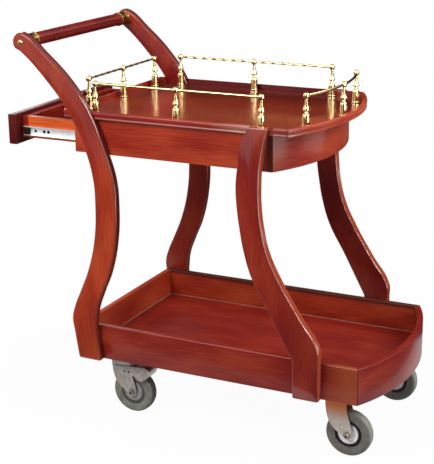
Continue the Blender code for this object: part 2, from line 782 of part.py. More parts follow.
def rim_marks():
    """Middles of the back and front legs, and the bow rim's start, at the rim's height."""
    z = (RIM_BOTTOM + RIM_TOP) / 2
    back = leg_middle_x(BACK_LEG_SHARES, BACK_LEG_HEIGHT, BAR_X, BACK_LEG_REACH, z)
    front = leg_middle_x(FRONT_LEG_SHARES, FRONT_LEG_HEIGHT, FRONT_LEG_X, FRONT_LEG_REACH, z)
    up, along, width = FRONT_LEG_SHARES[-1]
    top_edge = FRONT_LEG_X + FRONT_LEG_REACH * along + LEG_WIDTH * width
    return back, front, top_edge + RIM_RETURN_GAP


def build_rims(shop):
    profile = rim_profile()
    back, front, bow_start = rim_marks()
    bow = swept_mesh([rim_straight(bow_start, -1)] + rim_bow_stations()
                     + [rim_straight(bow_start, 1)], profile)
    shop.part("rim_bow", bow, "cherry_lacquer")
    end = swept_mesh([rim_straight(back, 1)] + rim_end_stations() + [rim_straight(back, -1)],
                     profile)
    cutters = [leg_cutter(shop, back_leg_outline, side) for label, side in SIDES]
    shop.part("rim_end", difference(shop, end, cutters), "cherry_lacquer")
    for label, side in SIDES:
        strip = swept_mesh([rim_straight(back, side), rim_straight(front, side)], profile)
        shop.part(f"rim_{label}", difference(shop, strip, leg_cutters(shop, side)),
                  "cherry_lacquer")


# Gallery

def post_profile():
    """A turned post from its ball down to its foot, as (radius, height above the foot)."""
    radii = {"neck": POST_NECK_RADIUS, "cone": POST_CONE_RADIUS, "post": POST_RADIUS,
             "base": POST_BASE_RADIUS, "shoulder": (POST_NECK_RADIUS + POST_RADIUS) / 2}
    rest = [(radii[name], RAIL_HEIGHT * (1 - share)) for name, share in POST_SHARES]
    meet = math.asin(POST_NECK_RADIUS / BALL_RADIUS)
    ball = []
    for i in range(BALL_RINGS):
        turn = (math.pi - meet) * i / BALL_RINGS
        ball.append((BALL_RADIUS * math.sin(turn), RAIL_HEIGHT + BALL_RADIUS * math.cos(turn)))
    return ball + rest + [(0, 0)]


def gallery_runs():
    """Post places of each side of the gallery, in order along its rail."""
    side_xs = [SIDE_POST_MID_X + SIDE_POST_PITCH * i for i in (-1, 0, 1)]
    across = RIM_HALF - POST_INSET
    end_x = RIM_END_X + POST_INSET
    end_across = RIM_HALF - END_POST_INSET
    turn = bow_post_turn()
    return {
        "near": [(x, -across) for x in side_xs],
        "far": [(x, across) for x in side_xs],
        "end": [(end_x, end_across * i) for i in (-1, 0, 1)],
        "bow": [bow_rail_point(turn * i) for i in (-1, 0, 1)],
    }


def bow_post_turn():
    """Angle at the bow's centre from its middle post to an outer one."""
    return math.asin((RIM_HALF - BOW_POST_INSET) / (RIM_BOW_RADIUS - POST_INSET))


def bow_rail_point(turn):
    reach = RIM_BOW_RADIUS - POST_INSET
    return BOW_CENTRE_X + reach * math.cos(turn), reach * math.sin(turn)


def rail_points(name, posts, tail):
    """Path of a rail through its balls, past the end ones by a tail."""
    if name == "bow":
        turn = bow_post_turn() + tail / (RIM_BOW_RADIUS - POST_INSET)
        return [(*bow_rail_point(turn * (2 * i / ARC_STEPS - 1)), RAIL_Z)
                for i in range(ARC_STEPS + 1)]
    (x0, y0), (x1, y1) = posts[0], posts[-1]
    if name == "end":
        return [(x0, y0 - tail, RAIL_Z), (x1, y1 + tail, RAIL_Z)]
    return [(x0 - tail, y0, RAIL_Z), (x1 + tail, y1, RAIL_Z)]


def build_gallery(shop):
    """Each side's posts with the rail that is pressed through their balls."""
    post = turned_mesh(shop, post_profile(), POST_STEPS)
    for name, places in gallery_runs().items():
        posts = [moved(post, (x, y, PANEL_TOP + FIT)) for x, y in places]
        rail = rod_mesh(shop, rail_points(name, places, RAIL_TAIL), RAIL_RADIUS)
        shop.part(f"gallery_{name}", union(shop, rail, posts), "brass")


# Lower tray

def build_lower_tray(shop):
    top = LOWER_BOTTOM + LOWER_HEIGHT
    profile = board_profile(LOWER_WALL, LOWER_BOTTOM, top, BOARD_ROUND, LOWER_ROUND)
    bow = swept_mesh(bow_stations(LOWER_BOW_CENTRE_X, LOWER_BOW_RADIUS, BODY_HALF), profile)
    shop.part("lower_bow", bow, "cherry_lacquer")
    for label, side in SIDES:
        stations = side_stations(LOWER_END_X, LOWER_BOW_CENTRE_X, LOWER_BOW_RADIUS, BODY_HALF,
                                 side)
        shop.part(f"lower_side_{label}", swept_mesh(stations, profile), "cherry_lacquer")
    across = BODY_HALF - LOWER_WALL - FIT
    shop.part("lower_end", swept_mesh(cross_ends(LOWER_END_X, across), profile),
              "cherry_lacquer")
    inset = LOWER_WALL + FIT
    outline = [place(inset) for place in bow_stations(LOWER_BOW_CENTRE_X, LOWER_BOW_RADIUS,
                                                      BODY_HALF)]
    outline += [(LOWER_END_X + inset, across), (LOWER_END_X + inset, -across)]
    floor = flat_curve(shop, outline, LOWER_FLOOR)
    floor.transform(Matrix.Translation((0, 0, LOWER_BOTTOM + LOWER_FLOOR / 2)))
    shop.part("lower_panel", floor, "cherry_lacquer")


# Drawer

def drawer_side_profile():
    """Section of a drawer side, as (inset from its outer face, height), with its groove."""
    top = DRAWER_TOP
    low = DRAWER_BOTTOM + DRAWER_GROOVE_UP
    high = low + DRAWER_PANEL + 2 * FIT
    deep = DRAWER_SIDE - DRAWER_GROOVE
    return [(0, DRAWER_BOTTOM), (DRAWER_SIDE, DRAWER_BOTTOM), (DRAWER_SIDE, low), (deep, low),
            (deep, high), (DRAWER_SIDE, high), (DRAWER_SIDE, top - DRAWER_ROUND),
            (DRAWER_SIDE - DRAWER_ROUND, top), (DRAWER_ROUND, top), (0, top - DRAWER_ROUND)]


def build_drawer(shop):
    front_x = DRAWER_FRONT_BACK_X - DRAWER_FRONT_THICKNESS
    home = shop.empty("drawer_origin", (front_x, 0, DRAWER_BOTTOM))
    board(shop, "drawer_front", (front_x, -BODY_HALF, DRAWER_FRONT_BOTTOM),
          (DRAWER_FRONT_BACK_X, BODY_HALF, DRAWER_FRONT_TOP),
          "cherry_lacquer", DRAWER_FRONT_ROUND, parent=home)
    inner_x = DRAWER_FRONT_BACK_X + FIT
    inner_back = inner_x + DRAWER_INNER_FRONT
    shop.part("drawer_inner_front",
              swept_mesh(cross_ends(inner_x, DRAWER_HALF), inner_front_profile()),
              "cherry_drawer", parent=home)
    back_x = DRAWER_SIDE_X + DRAWER_DEPTH
    for label, side in SIDES:
        ends = side_board_ends(DRAWER_SIDE_X, back_x, side)
        shop.part(f"drawer_side_{label}", swept_mesh(ends, drawer_side_profile()),
                  "cherry_drawer", parent=home)
    panel_low = DRAWER_BOTTOM + DRAWER_GROOVE_UP + FIT
    panel_high = panel_low + DRAWER_PANEL
    inside = DRAWER_HALF - DRAWER_SIDE
    board(shop, "drawer_back", (back_x - DRAWER_SIDE, FIT - inside, panel_high + FIT),
          (back_x, inside - FIT, DRAWER_TOP), "cherry_drawer", DRAWER_ROUND, parent=home)
    reach = inside + DRAWER_GROOVE - FIT
    panel = box_mesh((inner_back - DRAWER_GROOVE + FIT, -reach, panel_low),
                     (back_x, reach, panel_high))
    shop.part("drawer_bottom", panel, "cherry_drawer", parent=home)


def inner_front_profile():
    """The same groove in the drawer's inner front, as (distance behind its face, height)."""
    top = DRAWER_TOP
    low = DRAWER_BOTTOM + DRAWER_GROOVE_UP
    high = low + DRAWER_PANEL + 2 * FIT
    deep = DRAWER_INNER_FRONT - DRAWER_GROOVE
    return [(0, DRAWER_BOTTOM), (DRAWER_INNER_FRONT, DRAWER_BOTTOM), (DRAWER_INNER_FRONT, low),
            (deep, low), (deep, high), (DRAWER_INNER_FRONT, high),
            (DRAWER_INNER_FRONT, top - DRAWER_ROUND), (DRAWER_INNER_FRONT - DRAWER_ROUND, top),
            (0, top)]


def side_board_ends(start_x, end_x, side):
    def start(inset):
        return start_x, side * (DRAWER_HALF - inset)

    def end(inset):
        return end_x, side * (DRAWER_HALF - inset)
    return [start, end]


# Slides

def cabinet_profile():
    """Channel with its back on the apron and its lips turned in, as (inset, height)."""
    half = SLIDE_CABINET_HEIGHT / 2
    lip = SLIDE_MEMBER_HEIGHT / 2 + FIT
    depth = SLIDE_CABINET_DEPTH
    sheet = SLIDE_SHEET
    upper = [(0, half), (depth, half), (depth, lip), (depth - sheet, lip),
             (depth - sheet, half - sheet), (sheet, half - sheet)]
    lower = [(inset, -height) for inset, height in reversed(upper)]
    return [(inset, SLIDE_Z + height) for inset, height in upper + lower]


def member_profile():
    """Inner channel with its back on the drawer's side, open towards the apron."""
    half = SLIDE_MEMBER_HEIGHT / 2
    back = SLIDE_SPACE - 2 * FIT
    tip = back - SLIDE_MEMBER_DEPTH
    sheet = SLIDE_SHEET
    upper = [(tip, half - sheet), (tip, half), (back, half)]
    lower = [(back, -half), (tip, -half), (tip, sheet - half)]
    inner = [(back - sheet, sheet - half), (back - sheet, half - sheet)]
    return [(inset, SLIDE_Z + height) for inset, height in upper + lower + inner]


def slide_ends(start_x, side):
    def start(inset):
        return start_x, side * (APRON_INNER - FIT - inset)

    def end(inset):
        return start_x + SLIDE_LENGTH, side * (APRON_INNER - FIT - inset)
    return [start, end]


def build_slides(shop):
    home = bpy.data.objects["drawer_origin"]
    cabinet_x = APRON_END_X + SLIDE_CABINET_SETBACK
    member_x = DRAWER_FRONT_BACK_X + SLIDE_MEMBER_SETBACK
    for label, side in SIDES:
        shop.part(f"slide_cabinet_{label}",
                  swept_mesh(slide_ends(cabinet_x, side), cabinet_profile()), "slide_steel")
        shop.part(f"slide_drawer_{label}",
                  swept_mesh(slide_ends(member_x, side), member_profile()), "slide_steel",
                  parent=home)


# Casters, each modelled about its swivel axis with z as in the whole trolley

def plate_mesh(shop):
    """Top plate with the race below it and the kingpin that carries the fork."""
    middle = LOWER_BOTTOM - FIT - PLATE_THICKNESS / 2
    outline = rounded_rectangle(PLATE_LENGTH / 2, PLATE_WIDTH / 2, PLATE_CORNER)
    plate = flat_curve(shop, outline, PLATE_THICKNESS)
    plate.transform(Matrix.Translation((0, 0, middle)))
    race_low = CROWN_TOP + FIT
    head_top = CROWN_TOP - FORK_CROWN - FIT
    head_low = head_top - KINGPIN_HEAD_HEIGHT
    profile = [(0, middle), (RACE_RADIUS, middle), (RACE_NOSE_RADIUS, race_low),
               (KINGPIN_RADIUS, race_low), (KINGPIN_RADIUS, head_top),
               (KINGPIN_HEAD_RADIUS, head_top), (KINGPIN_HEAD_END_RADIUS, head_low),
               (0, head_low)]
    race = turned_mesh(shop, profile, HUB_STEPS)
    return union(shop, plate, [race])


def rounded_rectangle(half_length, half_width, radius):
    points = []
    for sx, sy, first in ((1, 1, 0), (-1, 1, 90), (-1, -1, 180), (1, -1, 270)):
        for i in range(CORNER_STEPS + 1):
            turn = math.radians(first + 90 * i / CORNER_STEPS)
            points.append((sx * (half_length - radius) + radius * math.cos(turn),
                           sy * (half_width - radius) + radius * math.sin(turn)))
    return points


def fork_outline():
    """Side view of the fork about its swivel axis, rear edge down and front edge up."""
    rear = [(-FORK_HALF_LENGTH * along, WHEEL_RADIUS + FORK_HEIGHT * up)
            for along, up in FORK_REAR_SHARES]
    boss = [(CASTER_TRAIL + FORK_BOSS_RADIUS * math.cos(math.radians(a)),
             WHEEL_RADIUS + FORK_BOSS_RADIUS * math.sin(math.radians(a)))
            for a in FORK_BOSS_ANGLES]
    front = [(FORK_HALF_LENGTH * along, WHEEL_RADIUS + FORK_HEIGHT * up)
             for along, up in FORK_FRONT_SHARES]
    return rear + boss + front


def fork_mesh(shop, braked):
    """Bent sheet fork: a flat crown under the race and two legs down to the axle."""
    body = upright(flat_curve(shop, fork_outline(), 2 * FORK_OUTER), 0)
    reach = FORK_HALF_LENGTH + CASTER_TRAIL + FORK_BOSS_RADIUS
    pocket = box_mesh((-reach, -FORK_GAP / 2, 0),
                      (reach + CUT_OVERRUN, FORK_GAP / 2, CROWN_TOP - FORK_CROWN))
    hole = cylinder_mesh(KINGPIN_RADIUS + 2 * FIT, CROWN_TOP - FORK_CROWN - CUT_OVERRUN,
                         CROWN_TOP + CUT_OVERRUN, HUB_STEPS)
    bore = cylinder_mesh(AXLE_RADIUS + FIT, -FORK_OUTER - CUT_OVERRUN, FORK_OUTER + CUT_OVERRUN,
                         PIN_STEPS, axis="Y")
    bore.transform(Matrix.Translation((CASTER_TRAIL, 0, WHEEL_RADIUS)))
    fork = difference(shop, body, [pocket, hole, bore])
    if not braked:
        return fork
    pins = []
    for label, side in SIDES:
        pin = cylinder_mesh(BRAKE_PIN_RADIUS, side * (FORK_OUTER - FORK_SHEET / 2),
                            side * (FORK_OUTER + BRAKE_PIN_LENGTH), PIN_STEPS, axis="Y")
        pins.append(moved(pin, (BRAKE_PIVOT_ALONG, 0, BRAKE_PIVOT_UP)))
    return union(shop, fork, pins)


def hub_mesh(shop):
    """Wheel centre about its axle, laid along Y: boss, dished face and grooved rim."""
    bore = AXLE_RADIUS + FIT
    boss = FORK_GAP / 2 - FIT
    rim = TYRE_INNER_RADIUS - 2 * FIT
    groove = (HUB_FACE_RADIUS + rim) / 2
    upper = [(bore, boss), (HUB_BOSS_RADIUS, boss), (HUB_BOSS_RADIUS, HUB_RIM_HALF),
             (HUB_FACE_RADIUS, HUB_FACE_HALF), (groove, HUB_GROOVE_HALF), (rim, HUB_RIM_HALF)]
    profile = upper + [(radius, -height) for radius, height in reversed(upper)]
    return along_y(turned_mesh(shop, profile, HUB_STEPS, closed=True))


def tyre_mesh(shop):
    half = TYRE_WIDTH / 2
    side = half - TYRE_SIDE_DISH
    shoulder = WHEEL_RADIUS - TYRE_EDGE
    upper = [(TYRE_INNER_RADIUS, side), (shoulder, half), (WHEEL_RADIUS, half - TYRE_EDGE)]
    profile = upper + [(radius, -height) for radius, height in reversed(upper)]
    return along_y(turned_mesh(shop, profile, WHEEL_STEPS, closed=True))


def axle_mesh(shop):
    """Hexagon bolt through the fork, with its nut on the other end."""
    seat = FORK_OUTER + FIT
    shaft = cylinder_mesh(AXLE_RADIUS, -seat - AXLE_HEAD_HEIGHT / 2, seat + AXLE_HEAD_HEIGHT / 2,
                          PIN_STEPS, axis="Y")
    ends = [cylinder_mesh(AXLE_HEAD_RADIUS, side * seat, side * (seat + AXLE_HEAD_HEIGHT),
                          HEX_SIDES, axis="Y") for label, side in SIDES]
    return union(shop, shaft, ends)


def brake_outline(shares):
    top = BRAKE_PIVOT_UP + BRAKE_TOP_UP
    return [(BRAKE_PIVOT_ALONG + BRAKE_LENGTH * along, top - BRAKE_DEPTH * down)
            for along, down in shares]


def brake_mesh(shop):
    """Stamped pedal: two side cheeks on the fork's pins and a curved plate over the tyre."""
    outer = FORK_OUTER + FIT + BRAKE_SHEET
    body = upright(flat_curve(shop, brake_outline(BRAKE_SIDE_SHARES), 2 * outer), 0)
    pocket = upright(flat_curve(shop, brake_outline(BRAKE_POCKET_SHARES),
                                2 * (FORK_OUTER + FIT)), 0)
    hole = cylinder_mesh(BRAKE_PIN_RADIUS + FIT, -outer - CUT_OVERRUN, outer + CUT_OVERRUN,
                         PIN_STEPS, axis="Y")
    hole.transform(Matrix.Translation((BRAKE_PIVOT_ALONG, 0, BRAKE_PIVOT_UP)))
    return difference(shop, body, [pocket, hole])


def build_caster(shop, label, x, y, braked):
    base = f"caster_{label}"
    swivel = shop.empty(f"{base}_swivel", (x, y, LOWER_BOTTOM))
    shop.part(f"{base}_plate", moved(plate_mesh(shop), (x, y, 0)), "zinc_steel",
              origin=(x, y, LOWER_BOTTOM))
    shop.part(f"{base}_fork", moved(fork_mesh(shop, braked), (x, y, 0)), "zinc_steel",
              origin=(x, y, LOWER_BOTTOM), parent=swivel)
    centre = (x + CASTER_TRAIL, y, WHEEL_RADIUS)
    for part, mesh, finish in (("hub", hub_mesh(shop), "hub_nylon"),
                               ("tyre", tyre_mesh(shop), "grey_rubber"),
                               ("axle", axle_mesh(shop), "zinc_steel")):
        shop.part(f"{base}_{part}", moved(mesh, centre), finish, origin=centre, parent=swivel)
    if braked:
        shop.part(f"{base}_brake", moved(brake_mesh(shop), (x, y, 0)), "zinc_steel",
                  origin=(x + BRAKE_PIVOT_ALONG, y, BRAKE_PIVOT_UP), parent=swivel)


def build_casters(shop):
    for label, side in SIDES:
        build_caster(shop, f"back_{label}", CASTER_BACK_X, side * CASTER_HALF, True)
        build_caster(shop, f"front_{label}", CASTER_FRONT_X, side * CASTER_HALF, False)


def main():
    clear_scene()
    shop = Workshop()
    build_legs(shop)
    build_handlebar(shop)
    build_apron(shop)
    build_tray_panel(shop)
    build_rims(shop)
    build_gallery(shop)
    build_lower_tray(shop)
    build_drawer(shop)
    build_slides(shop)
    build_casters(shop)


main()
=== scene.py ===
"""Looks of a bow-fronted serving trolley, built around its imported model, and its studio.

The trolley stands on the floor at z = 0, with +X towards its bowed front and -Y near.
"""

import math

import bmesh
import bpy
from mathutils import Matrix, Vector


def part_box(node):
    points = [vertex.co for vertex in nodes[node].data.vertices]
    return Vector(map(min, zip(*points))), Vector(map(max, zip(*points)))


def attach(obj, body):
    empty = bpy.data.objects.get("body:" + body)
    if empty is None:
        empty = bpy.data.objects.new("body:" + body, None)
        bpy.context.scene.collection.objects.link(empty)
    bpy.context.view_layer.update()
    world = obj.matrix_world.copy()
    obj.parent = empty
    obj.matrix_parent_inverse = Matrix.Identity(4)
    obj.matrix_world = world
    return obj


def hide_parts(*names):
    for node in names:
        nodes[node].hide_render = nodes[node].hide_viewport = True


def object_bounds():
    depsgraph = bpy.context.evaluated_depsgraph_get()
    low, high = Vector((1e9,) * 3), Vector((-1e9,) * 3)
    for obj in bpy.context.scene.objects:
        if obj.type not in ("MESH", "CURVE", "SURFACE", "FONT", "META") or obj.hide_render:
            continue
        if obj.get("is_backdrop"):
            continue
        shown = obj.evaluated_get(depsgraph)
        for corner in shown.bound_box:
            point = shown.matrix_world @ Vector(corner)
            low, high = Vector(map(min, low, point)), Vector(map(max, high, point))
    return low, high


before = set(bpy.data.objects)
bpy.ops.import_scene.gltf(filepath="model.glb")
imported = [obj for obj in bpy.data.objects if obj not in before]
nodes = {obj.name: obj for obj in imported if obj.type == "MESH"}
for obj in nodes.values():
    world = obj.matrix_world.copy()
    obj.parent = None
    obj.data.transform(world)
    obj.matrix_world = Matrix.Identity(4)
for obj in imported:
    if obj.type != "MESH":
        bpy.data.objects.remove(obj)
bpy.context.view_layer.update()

SIDES = (("near", -1), ("far", 1))
WELD = 0.00001                  # points closer than this are one
FIT = 0.0003                    # play between parts that lie against each other
SHARP_ANGLE = 32                # edges turned more than this stay crisp in the shading
EASED_ANGLE = 40                # edges turned more than this can be rounded
FLAT_ANGLE = 0.4                # faces turned less than this become one

# Carcass, as in the model
BODY_HALF = 0.2047
APRON_END_X = -0.2617
BOW_CENTRE_X = -0.147
APRON_BOW_RADIUS = 0.398
APRON_THICKNESS = 0.015
APRON_BOTTOM = 0.6036
APRON_TOP = 0.6781
APRON_EASE = 0.002              # rounding of its lower edge
RIM_HALF = 0.215
RIM_END_X = -0.2844
RIM_BOW_RADIUS = 0.436
RIM_CORNER = 0.010
RIM_BOTTOM = 0.6804
RIM_TOP = 0.6954
RIM_LIP = 0.0085
RIM_RABBET = 0.0047
RIM_SEAT = 0.6847
RIM_BOW_START_X = 0.2000
RIM_STRIP_PLAY = 0.0004         # between a strip beside a front leg and the rabbet
RIM_STRIP_LAP = 0.002           # how far such a strip runs into the bow's moulding
FRONT_LEG_TOP_X = 0.1900        # front edge of a front leg's top
LOWER_END_X = -0.2694
LOWER_BOW_CENTRE_X = -0.004
LOWER_BOW_RADIUS = 0.436
LOWER_BOTTOM = 0.1382
LOWER_TOP = 0.2173
LOWER_WALL = 0.014
LOWER_ROUND = 0.0035            # rounding of its upper edges
LOWER_EASE = 0.0012             # rounding of its lower edges
BOW_STEPS = 56
BOW_SPARE = 3                   # degrees that a bow is bent past its mitres
MITRE_EASE = 0.0010             # rounding of the V where a bow meets a side
MITRE_EDGE_LENGTH = 0.03        # edges at a mitre are longer than this
MITRE_EDGE_PLAY = 0.002         # and nearer than this to the side's outer face
MITRE_LINE_RADIUS = 0.0007
MITRE_LINE_SHORTER = 0.003      # than the boards are high
MITRE_LINE_EASE = 0.0002
MITRE_LINE_LOWER = 0.002        # under the lower tray's rounded upper edge
FLOOR_GLUE = 0.0009             # size of the dried bead along the lower floor

# The rim's moulding, as shares of its lip and its height: a thumb-nail edge over a cove
RIM_MOULDING_SHARES = (
    (1.0, 1.0), (0.52, 1.0), (0.36, 0.99), (0.22, 0.955), (0.11, 0.90), (0.04, 0.82),
    (0.0, 0.72), (0.0, 0.60), (0.02, 0.52), (0.07, 0.45), (0.15, 0.40), (0.20, 0.33),
    (0.20, 0.24), (0.15, 0.15), (0.07, 0.09), (0.04, 0.0),
)

# Legs. Shares are (height, place of the rear edge, width), from the foot up
LEG_THICKNESS = 0.020
LEG_INNER = 0.205
LEG_WIDTH = 0.057
LEG_ROUND = 0.0055
BAR_X = -0.374
BAR_Z = 0.8315
BACK_LEG_HEIGHT = 0.6933
BACK_LEG_REACH = 0.166
LEG_END_RADIUS = 0.0205
LEG_END_ANGLES = (215, 178, 142, 106, 70)
BACK_LEG_SHARES = (
    (0.0, 0.657, 0.982), (0.088, 0.602, 0.982), (0.134, 0.578, 1.070),
    (0.174, 0.620, 1.018), (0.236, 0.735, 0.965), (0.304, 0.855, 0.965),
    (0.410, 0.968, 0.935), (0.523, 1.000, 0.921), (0.598, 0.982, 0.912),
    (0.690, 0.878, 0.870), (0.802, 0.645, 0.965), (0.887, 0.361, 1.053),
    (0.973, -0.024, 1.070),
)
FRONT_LEG_X = 0.122
FRONT_LEG_REACH = 0.125
FRONT_LEG_HEIGHT = 0.5572
FRONT_LEG_SHARES = (
    (0.0, 1.0, 1.0), (0.147, 0.992, 1.0), (0.202, 0.860, 1.272),
    (0.312, 0.598, 1.144), (0.439, 0.280, 1.070), (0.538, 0.136, 0.912),
    (0.622, 0.064, 0.860), (0.705, 0.016, 0.860), (0.780, 0.000, 0.877),
    (0.850, 0.030, 0.847), (0.942, 0.096, 0.860), (1.0, 0.224, 0.702),
)
LEGS = {
    "back": (BACK_LEG_SHARES, BACK_LEG_HEIGHT, BAR_X, BACK_LEG_REACH),
    "front": (FRONT_LEG_SHARES, FRONT_LEG_HEIGHT, FRONT_LEG_X, FRONT_LEG_REACH),
}
FRONT_LEG_REAR_CORNERS = (0, 1, 11)     # points from the foot up
FRONT_LEG_FRONT_CORNERS = (0, 11)

# Handlebar
BAR_RADIUS = 0.014
BAR_END = LEG_INNER - 2 * FIT
FERRULE_LENGTH = 0.030
FERRULE_WALL = 0.0012
FERRULE_BEAD = 0.0006
FERRULE_BEAD_ANGLES = [80 - 160 * i / 6 for i in range(7)]
CUP_RADIUS = 0.006
CUP_HEIGHT = 0.003
CUP_ANGLES = (0, 15, 30, 45, 58, 68)    # round its dome, from the leg out

# Gallery
POST_PLACES = {
    "near": [(x, -0.1904) for x in (-0.2155, -0.0255, 0.1645)],
    "far": [(x, 0.1904) for x in (-0.2155, -0.0255, 0.1645)],
    "end": [(-0.2598, y) for y in (-0.144, 0.0, 0.144)],
    "bow": [(0.2393, -0.1414), (0.2644, 0.0), (0.2393, 0.1414)],
}
RAIL_Z = 0.7499
RAIL_RADIUS = 0.0027
RAIL_TAIL = 0.0025              # how far a rail goes past the middle of its last post
RAIL_BOW_RADIUS = 0.4114
TWIST_PITCH = 0.050             # one full turn of the twisted rails
TWIST_STEP = 0.0015
STRAND_MIDDLE, STRAND_SWELL = 0.84, 0.16    # shares of the radius of a twisted rail
BALL_RADIUS = 0.0065
BALL_ANGLES = range(90, -67, -13)       # from its top to the neck
POST_FOOT_Z = 0.6847

# A post below its ball, as (radius, distance below the ball's middle): bell, collar, bullet
POST_TURNING = (
    (0.0024, 0.0085), (0.0027, 0.0110), (0.0034, 0.0160), (0.0046, 0.0210),
    (0.0062, 0.0255), (0.0071, 0.0275), (0.0070, 0.0289), (0.0058, 0.0297),
    (0.0034, 0.0305),
    (0.0028, 0.0315), (0.0030, 0.0325), (0.0039, 0.0330), (0.0042, 0.0338),
    (0.0039, 0.0346), (0.0030, 0.0351),
    (0.0034, 0.0358), (0.0050, 0.0366), (0.0063, 0.0381), (0.0071, 0.0402),
    (0.0075, 0.0430), (0.0076, 0.0465),
)
POST_FOOT = ((0.0076, 0.0040), (0.0076, 0.0034), (0.0086, 0.0030), (0.0090, 0.0022),
             (0.0090, 0.0006), (0.0086, 0.0), (0, 0))       # (radius, height)

# Drawer and slides
DRAWER_FRONT_ROUND = 0.002
SLIDE_SHEET = 0.001
SLIDE_HOLES = ((0.028, 0.0032), (0.050, 0.0036), (0.061, 0.0036), (0.150, 0.0034),
               (0.250, 0.0034))         # (behind the channel's front end, radius)
SLIDE_HOLE_DEPTH = 0.02
BUMPER_START, BUMPER_END = 0.002, 0.014     # behind the channel's front end
BUMPER_ROUND = 0.0012

# Casters
CASTER_HALF = 0.150
CASTER_X = {"back": -0.192, "front": 0.321}
TRAIL = 0.026
WHEEL_RADIUS = 0.050
CROWN_TOP = 0.1256
PLATE_TOP = 0.1379
PLATE_HALF_LENGTH, PLATE_HALF_WIDTH = 0.038, 0.030
PLATE_SHEET = 0.0025
PLATE_CORNER = 0.006
PLATE_EASE = 0.0005
PLATE_SCREW_X, PLATE_SCREW_Y = 0.0305, 0.0225
SCREW_RADIUS, SCREW_TOP_RADIUS, SCREW_HEIGHT = 0.0028, 0.0044, 0.0022   # of its head
SCREW_DOWN = 0.0034             # middle of a screw's head below the plate's top

# Swivel race, dust lip and kingpin under a plate, as (radius, height)
RACE_TURNING = [
    (0, PLATE_TOP - 0.001), (0.0218, PLATE_TOP - 0.001), (0.0222, 0.1335), (0.0216, 0.1310),
    (0.0200, 0.1290), (0.0190, 0.1272), (0.0180, CROWN_TOP + FIT), (0.0060, CROWN_TOP + FIT),
    (0.0060, CROWN_TOP - 0.0033), (0.0090, CROWN_TOP - 0.0033), (0.0088, CROWN_TOP - 0.0050),
    (0.0072, CROWN_TOP - 0.0058), (0, CROWN_TOP - 0.0058),
]

# Forks, each bent from a strip that is longer and wider than it, then cut to its outline
STRIP_HALF_LENGTH, STRIP_BOTTOM = 0.10, -0.01
HOLLOW_HALF_LENGTH, HOLLOW_BOTTOM = 0.12, -0.02     # of what is cut out of its middle
FORK_CUT_WIDTH = 0.1
FORK_GAP = 0.030
FORK_SHEET = 0.0025
FORK_HALF_LENGTH = 0.023
FORK_BOSS_RADIUS = 0.0098
FORK_BOSS_ANGLES = (205, 238, 271, 304, 337)
FORK_HEIGHT = CROWN_TOP - WHEEL_RADIUS
FORK_BEND = 0.004
FORK_FACE = FORK_GAP / 2 + FORK_SHEET + FIT     # where washers and pedals lie on a fork
FORK_REAR_SHARES = ((1.0, 1.0), (0.957, 0.75), (0.70, 0.40), (0.26, 0.18))
FORK_FRONT_SHARES = ((1.55, 0.17), (1.35, 0.40), (1.13, 0.61), (1.0, 0.82), (1.0, 1.0))

# Axles with their nuts and washers, and pedals
AXLE_PROUD = 0.0062             # how far an axle's end stands out of the fork
AXLE_RADIUS = 0.0040
AXLE_TIP_RADIUS = 0.0036
AXLE_CHAMFER = 0.0012
AXLE_DIMPLE = ((0, 0.0004), (0.0022, 0.0004), (0.0028, 0.0001), (0.0028, 0), (0, 0))
NUT_RADIUS = 0.0062
NUT_HEIGHT = 0.0038
NUT_EASE = 0.0006
WASHER_RADIUS = 0.0085
WASHER_SHEET = 0.0010
BRAKE_PIVOT = (0.0095, 0.0984)
BRAKE_LENGTH = 0.0635
BRAKE_TOP = 0.1135
BRAKE_DEPTH = 0.0325
BRAKE_SHEET = 0.002
BRAKE_ROUND = 0.0012
SPRING_PIN_X = 0.011            # in front of the pedal's pin
RIVET = ((0, 0.0012), (0.0010, 0.0011), (0.0019, 0.0006), (0.0023, 0), (0, 0))

# A pedal's outline and the pocket inside it, as shares of its length and its depth
BRAKE_SHARES = (
    (-0.40, 0.11), (-0.40, 0.69), (0.39, 0.72), (0.53, 0.985), (0.68, 1.0),
    (0.86, 0.79), (0.97, 0.51), (1.0, 0.17), (0.89, 0.0), (0.48, 0.0),
)
BRAKE_CORNERS = (0, 1, 2)
BRAKE_POCKET_SHARES = (
    (-0.60, 1.3), (1.2, 1.3), (1.2, 0.91), (0.86, 0.70), (0.935, 0.48),
    (0.965, 0.19), (0.87, 0.065), (0.43, 0.065), (0.43, -0.3), (-0.60, -0.3),
)
BRAKE_POCKET_CORNERS = (0, 1, 2, 7, 8, 9)

# Turned profiles of a wheel, as (radius, distance from its middle)
HUB_HALF = [
    (0.0043, 0.0147), (0.0098, 0.0147), (0.0108, 0.0140), (0.0112, 0.0104), (0.0140, 0.0092),
    (0.0178, 0.0092), (0.0190, 0.0104), (0.0210, 0.0108), (0.0218, 0.0106), (0.0224, 0.0098),
    (0.0226, 0.0076), (0.0294, 0.0076),
]
# A ring in the groove between hub and tyre; on the front wheels it is black painted shade
GROOVE_RING = [(0.0230, 0.0079), (0.0230, 0.0096), (0.0238, 0.0103), (0.0284, 0.0103),
             (0.0292, 0.0096), (0.0292, 0.0079)]
TYRE_HALF = [
    (0.0300, 0.0110), (0.0330, 0.0110), (0.0345, 0.0116), (0.0420, 0.0120), (0.0455, 0.0118),
    (0.0477, 0.0106), (0.0490, 0.0088), (0.0497, 0.0064), (0.0500, 0.0035),
    (0.0500, 0.0012), (0.0495, 0.0006),
]


# Materials

PATTERN_LOW, PATTERN_HIGH = 0.25, 0.75      # between these lie most values of a pattern


def linear(colour):
    """A hex sRGB colour as linear (red, green, blue, 1)."""
    parts = [int(colour[i:i + 2], 16) / 255 for i in (1, 3, 5)]
    return [p / 12.92 if p <= 0.04045 else ((p + 0.055) / 1.055) ** 2.4 for p in parts] + [1]


